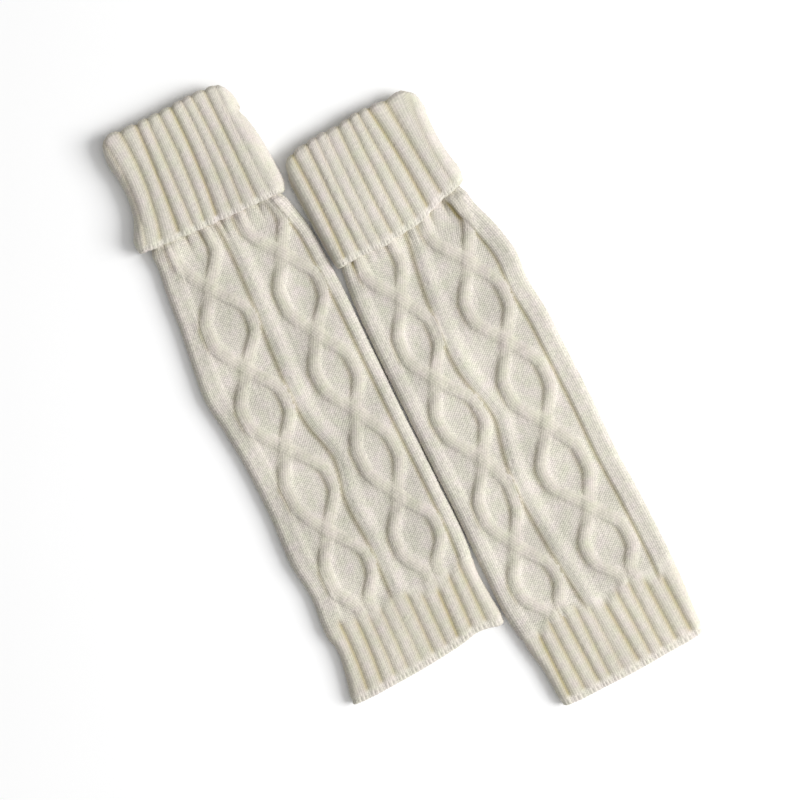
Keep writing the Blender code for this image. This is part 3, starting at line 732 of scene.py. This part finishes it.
def leg_sheet(name, warmer, rows, columns, shape, inside_at, sizes):
    """The sheet of a leg or hem: the rows of its outside, then a few plain ones back up its inside.

    rows is (down, tube) and columns (girth, wale, knit). shape is how far each point stands out, how far
    its whole row is lowered, how far the point moves forward and how much painted shade it gets.
    """
    down, tube = rows
    girth, wale, knit = columns
    raised, lowered, forward, depth = shape
    girth = with_underside(tube, girth)
    x, z = tube.point(girth, padded(raised) - lowered)
    outside = placed(warmer, warmer.leg, down, x, z, padded(forward))
    inside_girth = girth[inside_at]
    x, z = tube.rows(inside_at).point(inside_girth, np.full_like(inside_girth, -sizes.wall))
    inside = placed(warmer, warmer.leg, down[inside_at], x, z)
    wale, knit = underside_stitches(wale, knit)
    course = (down - warmer.cuff_edge)[:, 0] / sizes.course
    course = np.concatenate([course, course[inside_at]])
    # Painted shade on the underside and the inside
    depth = np.concatenate([padded(depth, UNDERSIDE_PAINTED_SHADE), np.full_like(inside_girth, INSIDE_PAINTED_SHADE)])
    return knitted(f"{warmer.name}_{name}_knit", np.concatenate([outside, inside]), wale, course, depth, knit)


def knit_leg(warmer, sizes):
    shown = dense_rows(warmer.cuff_edge - 4 * MM, HEM_START + SEAM_OVERLAP, sizes)
    down = np.concatenate([np.linspace(warmer.tucked_end + 0.3 * MM, shown[0], 4)[:-1], shown])[:, None]
    tube = leg_tube(warmer, down, sizes)
    start, end = tube.worked()
    rib = read(warmer.rib, "across", down)
    sides = (tube.left + warmer.left_rib, rib - RIB_HALF, rib + RIB_HALF, tube.right - warmer.right_rib)
    marks = np.concatenate([start, *(tube.round_at(side) for side in sides), end], axis=1)
    left, right = (round(width / SIDE_WALE) + 2 for width in (warmer.left_rib, warmer.right_rib))
    purl = warmer.purl_wales
    spans = [(left, True), (purl[0], False), (RIB_WALES, True), (purl[1], False), (right, True)]
    span, share, wale, knit = spread_columns(spans)
    girth = blend(marks[:, span], marks[:, span + 1], share)
    smooth, depth = front_relief(warmer, tube.across_at(girth), down, tube, sizes)
    fine, sunk = leg_stitches(warmer, wale, knit, down, sizes, seed=11)
    on_front = tube.on_front(girth)
    raised = (smooth + fine) * on_front * ease(down - warmer.cuff_edge, *STITCHES_START)
    lowered = SEAM_STEP * np.clip((down - HEM_START) / SEAM_OVERLAP, 0, 1)
    shape = (raised, lowered, -sunk * on_front, depth)
    inside_at = inside_rows(len(down), LEG_INSIDE_ROWS)
    return leg_sheet("leg", warmer, (down, tube), (girth, wale, knit), shape, inside_at, sizes)


# The columns of points over one rib, from groove to groove: where each lies, and in which wale
RIB_SHARE = np.array([0, 0.07, 0.14, 0.2, 0.275, 0.35, 0.425, 0.5, 0.575, 0.65, 0.725, 0.8, 0.87, 0.93])
RIB_WALE = np.array([0, 0.3, 0.7, 1, 1.25, 1.5, 1.75, 2, 2.25, 2.5, 2.75, 3, 3.3, 3.7])
RIB_KNIT = (RIB_SHARE >= 0.2) & (RIB_SHARE < 0.8)


def ribbed_columns(count):
    """Columns over a number of ribs: how many grooves each lies past the first, wale and knit flag."""
    first = np.arange(count)[:, None]
    place = np.append(first + RIB_SHARE, count)
    wale = np.append(RIB_WALES * first + RIB_WALE, RIB_WALES * count)
    return place, wale, np.append(np.tile(RIB_KNIT, count), False)


def over_ribs(ribs, down, tube):
    """Distances round the tube of columns that follow its ribs, with their wales and knit flags."""
    grooves = tube.round_at(groove_lines(ribs, down))
    marks = np.arange(grooves.shape[1])
    place, wale, knit = ribbed_columns(len(marks) - 1)
    girth = np.array([np.interp(place, marks, row) for row in grooves])
    start, end = (np.broadcast_to(limit, (len(girth), 1)) for limit in tube.worked())
    keep = ((girth > start + 1 * MM) & (girth < end - 1 * MM)).all(axis=0)
    girth = np.concatenate([start, girth[:, keep], end], axis=1)
    wale, knit = wale[keep], knit[keep]
    wale = np.concatenate([[wale[0] - 1], wale, [wale[-1] + 1]])
    return np.maximum.accumulate(girth, axis=1), wale, np.concatenate([[False], knit, [False]])


def knit_hem(warmer, sizes):
    rim = sizes.wall / 2
    straight = dense_rows(HEM_START - SEAM_OVERLAP, warmer.length - rim, sizes)
    turned = np.radians([0] * len(straight) + list(ROUND_EDGE))[:, None]
    down = np.append(straight, [straight[-1]] * len(ROUND_EDGE))[:, None] + rim * np.sin(turned)
    tube = leg_tube(warmer, down, sizes)
    girth, wale, knit = over_ribs(warmer.hem_ribs, down, tube)
    across, on_front = tube.across_at(girth), tube.on_front(girth)
    smooth, depth = front_relief(warmer, across, down, tube, sizes)
    fine, sunk = leg_stitches(warmer, wale, knit, down, sizes, seed=23)
    edge = towards_edge(down, warmer.length, HEM_STITCHES_END)
    raised = (smooth + fine * (1 - 0.6 * edge) + chain(wale, 0.3 * MM) * edge) * on_front
    wave = read(warmer.hem_wave, "down", across, "across") * ease(down, HEM_START + 10 * MM, warmer.length)
    forward = -0.4 * raised * np.sin(turned) - sunk * on_front * (1 - edge) - wave
    seam_step = SEAM_STEP * np.clip((HEM_START - down) / SEAM_OVERLAP, 0, 1)
    lowered = rim * (1 - np.cos(turned)) + seam_step
    shape = (raised * np.maximum(np.cos(turned), 0), lowered, forward, depth)
    inside_at = inside_rows(len(straight), HEM_INSIDE_ROWS)
    return leg_sheet("hem", warmer, (down, tube), (girth, wale, knit), shape, inside_at, sizes)


def cuff_drop(warmer, across, down, waved):
    """How much lower the cuff lies than its straight rows, at its waved free edge and folded corners."""
    wave = read(warmer.cuff_wave, "down", across, "across") * waved
    return wave + read(warmer.fold_drop, "down", across, "across") * (1 - ease(down, *FOLD_DROP_ENDS))


def knit_cuff(warmer, sizes):
    """From the flap's hidden side round its free edge, up its front, over the fold and down inside."""
    fold, rim = sizes.wall + sizes.layer_gap / 2, sizes.wall / 2
    straight = dense_rows(fold, warmer.cuff_edge - rim, sizes)[::-1]
    lowest = straight[0]
    edge, over = np.radians(ROUND_EDGE)[::-1], np.radians(FOLD)
    hidden = np.linspace(fold, warmer.tucked_end - 0.3 * MM, CUFF_INSIDE_ROWS)
    fading = 1 - ease(over, *FOLD_STITCHES_END)
    path = [  # of each stretch: down, how deep it lies, how flat, which way it tips and how worked it is
        (lowest + rim * np.sin(edge), rim * (1 - np.cos(edge)), np.cos(edge), -np.sin(edge), 1),
        (straight, 0, 1, 0, 1),
        (fold * (1 - np.sin(over)), fold * (1 - np.cos(over)), np.cos(over), np.sin(over), fading),
        (hidden, 2 * fold, 0, 0, 0),
        (hidden[::-1], sizes.wall + sizes.layer_gap, 0, 0, 0),
        (np.append(hidden, [lowest - 8 * MM, lowest - 2 * MM]), sizes.wall, 0, 0, 0),
    ]
    down, deep, flat, tip, worked = (
        np.concatenate([np.broadcast_to(stretch[value], len(stretch[0])) for stretch in path])[:, None]
        for value in range(5)
    )
    tube = cuff_tube(warmer, down, sizes)
    girth, wale, knit = over_ribs(warmer.cuff_ribs, down, tube)
    across, on_front = tube.across_at(girth), tube.on_front(girth) * worked
    fine, sunk = stitches(wale, knit, down / sizes.course, sizes, seed=37)
    near_edge = towards_edge(down, warmer.cuff_edge, CUFF_END)
    dome = ribbed(warmer.cuff_ribs, across, down)
    smooth = CUFF_RIB_SHARE * sizes.rib_rise * flattened(dome, near_edge, loss=0.5, rise=0.1)
    raised = (smooth + fine * (1 - 0.5 * near_edge) + chain(wale, 0.35 * MM) * near_edge) * on_front
    waved = ease(down, CUFF_WAVE_START, warmer.cuff_edge) * (deep < 1.01 * sizes.wall)
    drop = cuff_drop(warmer, across, down, waved) + RIB_DROOP * dome * near_edge * worked
    forward = raised * tip * np.where(tip < 0, 0.5, 1.0) - drop - sunk * on_front * (tip == 0)
    # Painted shade in the cuff's grooves, fading at its free edge, and full on its hidden inside
    grooves = between_ribs(warmer.cuff_ribs, across, down)
    depth = CUFF_MOST_SHADE * grooves * (1 - near_edge) * worked + INSIDE_PAINTED_SHADE * (1 - worked)
    x, z = tube.point(with_underside(tube, girth), padded(raised * np.maximum(flat, -0.2)) - deep)
    under = cuff_drop(warmer, x[:, -UNDERSIDE_POINTS:], down, waved)
    rings = placed(warmer, warmer.cuff, down, x, z, np.append(forward, -under, axis=1))
    wale, knit = underside_stitches(wale, knit)
    depth = padded(depth, UNDERSIDE_PAINTED_SHADE)
    return knitted(f"{warmer.name}_cuff_knit", rings, wale, down[:, 0] / sizes.course, depth, knit)


def knit_strand(warmer, cables, side, name, sizes, seed):
    """One strand of a column of crossing cables, over its partner where it runs down to the right."""
    down = dense_rows(warmer.cuff_edge - 4 * MM, STRAND_END, sizes)[:, None]
    across = read(cables, "across", down) + side * swing(warmer, cables, down) + STRAND_CREST
    heading = np.gradient(across[:, 0], down[:, 0])[:, None]
    stretch = np.sqrt(1 + heading**2)
    from_crossing = np.abs(down - np.array(warmer.crossings[:-1])).min(axis=1, keepdims=True)
    crossing = hill(from_crossing, CROSSING_LENGTH)
    count = STRAND_WALES * KNIT_POINTS
    wale = np.arange(count + 1) / KNIT_POINTS
    place = 2 * np.arange(count + 1) / count - 1
    profile = (1 - np.abs(place) ** 2.4) ** 0.9
    fine, sunk = stitches(wale, np.full(count + 1, True), down / sizes.course, sizes, seed)
    under = np.zeros((len(down), len(STRAND_UNDERSIDE)))
    offset = np.append(place, STRAND_UNDERSIDE) * sizes.cable_half * (1 + 0.1 * crossing)
    along = np.append(sunk + under[:, :1], under, axis=1)
    x = across + (offset + along * heading) / stretch
    sunk_down = down + (along - offset * heading) / stretch
    z = np.empty_like(x)
    for column in range(x.shape[1]):
        here = slice(column, column + 1)
        tube = leg_tube(warmer, sunk_down[:, here], sizes)
        ground = front_relief(warmer, x[:, here], sunk_down[:, here], tube, sizes)[0]
        z[:, here] = tube.bottom + tube.thickness + ground
    shown = ease(down, down[0], down[0] + 4 * MM) * (1 - ease(down, HEM_START - 3 * MM, STRAND_END))
    lift = SKIN * (profile * (1 + shown) - 1) + fine * np.sqrt(profile)
    over = np.where(heading > 0, STRAND_OVER, STRAND_UNDER) * crossing
    z += over + np.append(lift, under - STRAND_SUNK, axis=1) - (1 - shown) * 1.2 * MM
    points = placed(warmer, warmer.leg, sunk_down, x, z)
    for row in (0, -1):
        points[row] = points[row].mean(axis=0)
    # Painted shade along the strand, more at crossings and on its left edge where it runs down to the left,
    # and full on its sunken underside
    left_side = (1 - profile) * (place < 0) * ease(-heading, *TURNED_LEFT)
    depth = STRAND_PAINTED_SHADE + CROSSING_PAINTED_SHADE * crossing + LEFT_PAINTED_SHADE * left_side
    wale = np.append(wale, wale[-1] + 1 + np.arange(len(STRAND_UNDERSIDE)))
    course = down[:, 0] / sizes.course
    depth = np.append(depth, under + 1, axis=1)
    return knitted(name, points, wale, course, depth, np.ones(len(wale)), closed_rows=False)


def knit_cables(warmer, sizes):
    strands = []
    for column, cables in enumerate(warmer.cables):
        for side in (-1, 1):
            name = f"{warmer.name}_strand_{column}_{side}"
            strands.append(knit_strand(warmer, cables, side, name, sizes, seed=50 + column * 2 + side))
    nothing_selected()
    for strand in strands:
        strand.select_set(True)
    bpy.context.view_layer.objects.active = strands[0]
    bpy.ops.object.join()
    strands[0].name = strands[0].data.name = f"{warmer.name}_cables"
    return strands[0]


SOCKETS = {1: "NodeSocketFloat", 3: "NodeSocketVector", 4: "NodeSocketColor"}


def group(name, inputs, output, size=1):
    """A shader group: its tree, what it is given, and the socket of its one output."""
    tree = bpy.data.node_groups.new(name, "ShaderNodeTree")
    for label, value in inputs.items():
        socket = tree.interface.new_socket(label, in_out="INPUT", socket_type=SOCKETS[np.size(value)])
        socket.default_value = value
    tree.interface.new_socket(output, in_out="OUTPUT", socket_type=SOCKETS[size])
    return tree, tree.nodes.new("NodeGroupInput").outputs, tree.nodes.new("NodeGroupOutput").inputs[output]


def node(tree, kind, inputs=(), **settings):
    """A new node with its settings, whose inputs are values or other nodes' outputs."""
    made = tree.nodes.new(kind)
    for key, value in settings.items():
        setattr(made, key, value)
    fill(tree, made, inputs)
    return made


def fill(tree, made, inputs):
    for label, value in dict(inputs).items():
        if isinstance(value, bpy.types.NodeSocket):
            tree.links.new(value, made.inputs[label])
        else:
            made.inputs[label].default_value = value


def maths(tree, operation, *values, clamp=False):
    return node(tree, "ShaderNodeMath", enumerate(values), operation=operation, use_clamp=clamp).outputs[0]


def mixed(tree, kind, factor, low, high):
    inputs = {"Factor": factor, "A": low, "B": high}
    return node(tree, "ShaderNodeMix", inputs, data_type=kind).outputs["Result"]


def noise(tree, place, scale, detail=2.0, **settings):
    inputs = {"Vector": place, "Scale": scale, "Detail": detail}
    return node(tree, "ShaderNodeTexNoise", inputs, **settings).outputs["Fac"]


def scaled(tree, colour, factor):
    return node(tree, "ShaderNodeVectorMath", {0: colour, "Scale": factor}, operation="SCALE").outputs[0]


def split(tree, vector):
    parts = node(tree, "ShaderNodeSeparateXYZ", {0: vector}).outputs
    return parts["X"], parts["Y"]


def wave_of(tree, turns):
    """0 to 1 and back in each turn, and 1 at whole turns."""
    cosine = maths(tree, "COSINE", maths(tree, "MULTIPLY", turns, 2 * math.pi))
    return maths(tree, "MULTIPLY_ADD", cosine, 0.5, 0.5)


def knit_pattern():
    """Height of the stitches from 0 in their gaps to 1: V's in knit wales, a lattice of bumps in purl."""
    tree, given, result = group("knit_pattern", {"Stitches": (0, 0, 0), "Knit": 0.0}, "Height")
    wale, course = split(tree, given["Stitches"])
    legs = maths(tree, "SUBTRACT", 1, wave_of(tree, maths(tree, "MULTIPLY", wale, 2)))
    legs = maths(tree, "MULTIPLY_ADD", legs, 1 - LEAST_KNIT, LEAST_KNIT)
    beat = maths(tree, "MULTIPLY_ADD", wave_of(tree, course), 1 - LEAST_BEAT, LEAST_BEAT)
    rising = wave_of(tree, maths(tree, "ADD", course, wale))
    falling = wave_of(tree, maths(tree, "SUBTRACT", course, wale))
    level = maths(tree, "MULTIPLY", falling, 1 - PURL_SLANT)
    purl = maths(tree, "MULTIPLY_ADD", rising, PURL_SLANT, level)
    tree.links.new(mixed(tree, "FLOAT", given["Knit"], purl, maths(tree, "MULTIPLY", legs, beat)), result)


def yarn_tone():
    """Colour of the yarn: warmer and darker where painted shade lies, with painted shade between stitches,
    and a little uneven.
    """
    inputs = {
        "Yarn": (1, 1, 1, 1),
        "Shaded yarn": (0.5, 0.5, 0.4, 1),
        "Depth": 0.0,
        "Stitch height": 1.0,
        "Stitches": (0, 0, 0),
        "Place": (0, 0, 0),
        "Stitch shade": 1.0,
        "Unevenness": 0.1,
    }
    tree, given, result = group("yarn_tone", inputs, "Color", size=4)
    # Painted shade: the yarn turns warmer and darker towards the shaded yarn colour
    groove = maths(tree, "POWER", given["Depth"], 1.35)
    shade = mixed(tree, "RGBA", groove, given["Yarn"], given["Shaded yarn"])
    # Painted shade between stitches, where their height is low
    gap = maths(tree, "POWER", maths(tree, "SUBTRACT", 1, given["Stitch height"], clamp=True), 1.6)
    gap = maths(tree, "MULTIPLY", gap, given["Stitch shade"])
    per_stitch = noise(tree, given["Stitches"], 1.3, noise_dimensions="2D")
    broad = noise(tree, given["Place"], 28)
    centred = maths(tree, "SUBTRACT", maths(tree, "ADD", per_stitch, broad), 1)
    uneven = maths(tree, "MULTIPLY_ADD", centred, given["Unevenness"], 1)
    dimmed = maths(tree, "MULTIPLY_ADD", gap, -GAP_PAINTED_SHADE, uneven)
    drift = mixed(tree, "RGBA", noise(tree, given["Place"], 110), GREENER, PINKER)
    tinted = {0: scaled(tree, shade, dimmed), 1: drift}
    tree.links.new(node(tree, "ShaderNodeVectorMath", tinted, operation="MULTIPLY").outputs[0], result)


def yarn_twist():
    """Height of the plies that wind round each leg of a stitch, and of the yarn's fuzz."""
    inputs = {"Stitches": (0, 0, 0), "Place": (0, 0, 0), "Plies": 3.0, "Fuzz": 0.5}
    tree, given, result = group("yarn_twist", inputs, "Height")
    wale, course = split(tree, given["Stitches"])
    lean = maths(tree, "MULTIPLY_ADD", wale, 1.6, course)
    ply = wave_of(tree, maths(tree, "MULTIPLY", lean, given["Plies"]))
    fuzz = maths(tree, "MULTIPLY", noise(tree, given["Place"], 1900, detail=3), given["Fuzz"])
    tree.links.new(maths(tree, "MULTIPLY_ADD", ply, 0.4, fuzz), result)


def new_material(name):
    material = bpy.data.materials.new(name)
    material.use_nodes = True
    return material, material.node_tree, material.node_tree.nodes["Principled BSDF"]


def bump(tree, height, strength, distance, **normal):
    inputs = {"Height": height, "Strength": strength, "Distance": distance, **normal}
    return node(tree, "ShaderNodeBump", inputs).outputs["Normal"]


def knit_material(name, looks, stitch_shade, unevenness):
    """Soft acrylic yarn from the shared groups."""
    material, tree, shader = new_material(name)
    stitches_at = node(tree, "ShaderNodeUVMap", uv_map="stitches").outputs[0]
    place = node(tree, "ShaderNodeTexCoord").outputs["Object"]
    # The painted shade that each piece carries in its depth attribute, and its knit flags
    depth, knit = (
        node(tree, "ShaderNodeAttribute", attribute_name=label).outputs["Fac"] for label in ("depth", "knit")
    )

    def shared(label, inputs):
        inputs = {"Stitches": stitches_at, **inputs}
        return node(tree, "ShaderNodeGroup", inputs, node_tree=bpy.data.node_groups[label]).outputs[0]

    height = shared("knit_pattern", {"Knit": knit})
    tone = {
        "Yarn": (*looks.yarn, 1),
        "Shaded yarn": (*looks.shaded_yarn, 1),
        "Depth": depth,
        "Stitch height": height,
        "Place": place,
        "Stitch shade": stitch_shade,
        "Unevenness": unevenness,
    }
    twist = shared("yarn_twist", {"Place": place, "Plies": 2.0, "Fuzz": 0.6})
    normal = bump(tree, height, 0.5, 0.25 * MM)
    yarn = {
        "Base Color": shared("yarn_tone", tone),
        "Roughness": 0.92,
        "Specular IOR Level": 0.18,
        "Sheen Weight": 0.2,
        "Sheen Roughness": 0.5,
        "Sheen Tint": (1.0, 0.98, 0.94, 1),
        "Normal": bump(tree, twist, 0.35, 0.15 * MM, Normal=normal),
    }
    fill(tree, shader, yarn)
    return material


def stage_material(looks):
    """A matt pale floor with a faint unevenness."""
    material, tree, shader = new_material("pale_floor")
    broad = noise(tree, node(tree, "ShaderNodeTexCoord").outputs["Object"], 5)
    tint = scaled(tree, looks.floor, maths(tree, "MULTIPLY_ADD", broad, 0.02, 0.99))
    fill(tree, shader, {"Base Color": tint, "Roughness": 0.9})
    return material


class LEGWARMERS_OT_yarn(bpy.types.Operator):
    """Make the yarn's shader groups and the materials of the cuffs, legs, cables and hems"""

    bl_idname = "leg_warmers.yarn"
    bl_label = "Spin the Yarn"

    def execute(self, context):
        looks = context.scene.yarn_looks
        knit_pattern()
        yarn_tone()
        yarn_twist()
        knit_material("purl_ground_yarn", looks, stitch_shade=1.2, unevenness=0.5)
        knit_material("cable_yarn", looks, stitch_shade=0.75, unevenness=0.3)
        knit_material("rib_yarn", looks, stitch_shade=0.5, unevenness=0.3)
        return {"FINISHED"}


class LEGWARMERS_OT_cuffs(bpy.types.Operator):
    """Knit the ribbed tops, turned down over the legs"""

    bl_idname = "leg_warmers.cuffs"
    bl_label = "Knit the Cuffs"

    def execute(self, context):
        for warmer in WARMERS:
            piece = knit_cuff(warmer, context.scene.knit_sizes)
            dressed(piece, bpy.data.materials["rib_yarn"], f"{warmer.name}_turned_cuff")
        return {"FINISHED"}


class LEGWARMERS_OT_legs(bpy.types.Operator):
    """Knit the legs with their cables"""

    bl_idname = "leg_warmers.legs"
    bl_label = "Knit the Legs"

    def execute(self, context):
        for warmer in WARMERS:
            leg = knit_leg(warmer, context.scene.knit_sizes)
            dressed(leg, bpy.data.materials["purl_ground_yarn"], f"{warmer.name}_cabled_leg")
            cables = knit_cables(warmer, context.scene.knit_sizes)
            dressed(cables, bpy.data.materials["cable_yarn"])
        return {"FINISHED"}


class LEGWARMERS_OT_hems(bpy.types.Operator):
    """Knit the ribbed hems with their cast-on edges"""

    bl_idname = "leg_warmers.hems"
    bl_label = "Knit the Hems"

    def execute(self, context):
        for warmer in WARMERS:
            piece = knit_hem(warmer, context.scene.knit_sizes)
            dressed(piece, bpy.data.materials["rib_yarn"], f"{warmer.name}_ribbed_hem")
        return {"FINISHED"}


class LEGWARMERS_OT_stage(bpy.types.Operator):
    """Lay a pale floor and set the soft lights and the camera"""

    bl_idname = "leg_warmers.stage"
    bl_label = "Set the Stage"

    def execute(self, context):
        looks = context.scene.yarn_looks
        nothing_selected()
        bpy.ops.mesh.primitive_plane_add(size=6, location=(0, 0, -0.4 * MM))
        floor = context.object
        floor.name = "floor"
        bpy.ops.object.transform_apply(location=True, rotation=True, scale=True)
        floor.data.materials.append(stage_material(looks))
        world = bpy.data.worlds.new("studio")
        world.use_nodes = True
        world.node_tree.nodes["Background"].inputs["Color"].default_value = (1, 1, 1, 1)
        world.node_tree.nodes["Background"].inputs["Strength"].default_value = 0.26
        context.scene.world = world
        for name, lamp in LAMPS.items():
            self.light(name, *lamp)
        bpy.ops.object.camera_add(location=CAMERA_PLACE, rotation=(0, 0, CAMERA_TURN))
        camera = context.object
        camera.name = "camera"
        camera.data.lens = CAMERA_LENS
        camera.data.clip_start = 0.05
        context.scene.camera = camera
        context.scene.view_settings.view_transform = "Standard"
        return {"FINISHED"}

    def light(self, name, place, size, power):
        bpy.ops.object.light_add(type="AREA", location=place)
        lamp = bpy.context.object
        lamp.name = name
        lamp.data.size = size
        lamp.data.energy = power
        lamp.rotation_euler = lamp.location.to_track_quat("Z", "Y").to_euler()


class LEGWARMERS_PT_panel(bpy.types.Panel):
    """The steps in order, with the sizes and colours they use"""

    bl_label = "Leg Warmers"
    bl_idname = "LEGWARMERS_PT_panel"
    bl_space_type = "VIEW_3D"
    bl_region_type = "UI"
    bl_category = "Leg Warmers"

    def draw(self, context):
        layout = self.layout
        for owner in (context.scene.knit_sizes, context.scene.yarn_looks):
            box = layout.box()
            for name in owner.__annotations__:
                box.prop(owner, name)
        for operator in OPERATORS:
            layout.operator(operator.bl_idname)


OPERATORS = (
    LEGWARMERS_OT_yarn,
    LEGWARMERS_OT_legs,
    LEGWARMERS_OT_cuffs,
    LEGWARMERS_OT_hems,
    LEGWARMERS_OT_stage,
)
CLASSES = (KnitSizes, YarnLooks, *OPERATORS, LEGWARMERS_PT_panel)


def register():
    for entry in CLASSES:
        bpy.utils.register_class(entry)
    bpy.types.Scene.knit_sizes = PointerProperty(type=KnitSizes)
    bpy.types.Scene.yarn_looks = PointerProperty(type=YarnLooks)


def unregister():
    del bpy.types.Scene.yarn_looks
    del bpy.types.Scene.knit_sizes
    for entry in reversed(CLASSES):
        bpy.utils.unregister_class(entry)


def main():
    register()
    bpy.ops.leg_warmers.yarn()
    bpy.ops.leg_warmers.legs()
    bpy.ops.leg_warmers.cuffs()
    bpy.ops.leg_warmers.hems()
    bpy.ops.leg_warmers.stage()


if __name__ == "__main__":
    main()
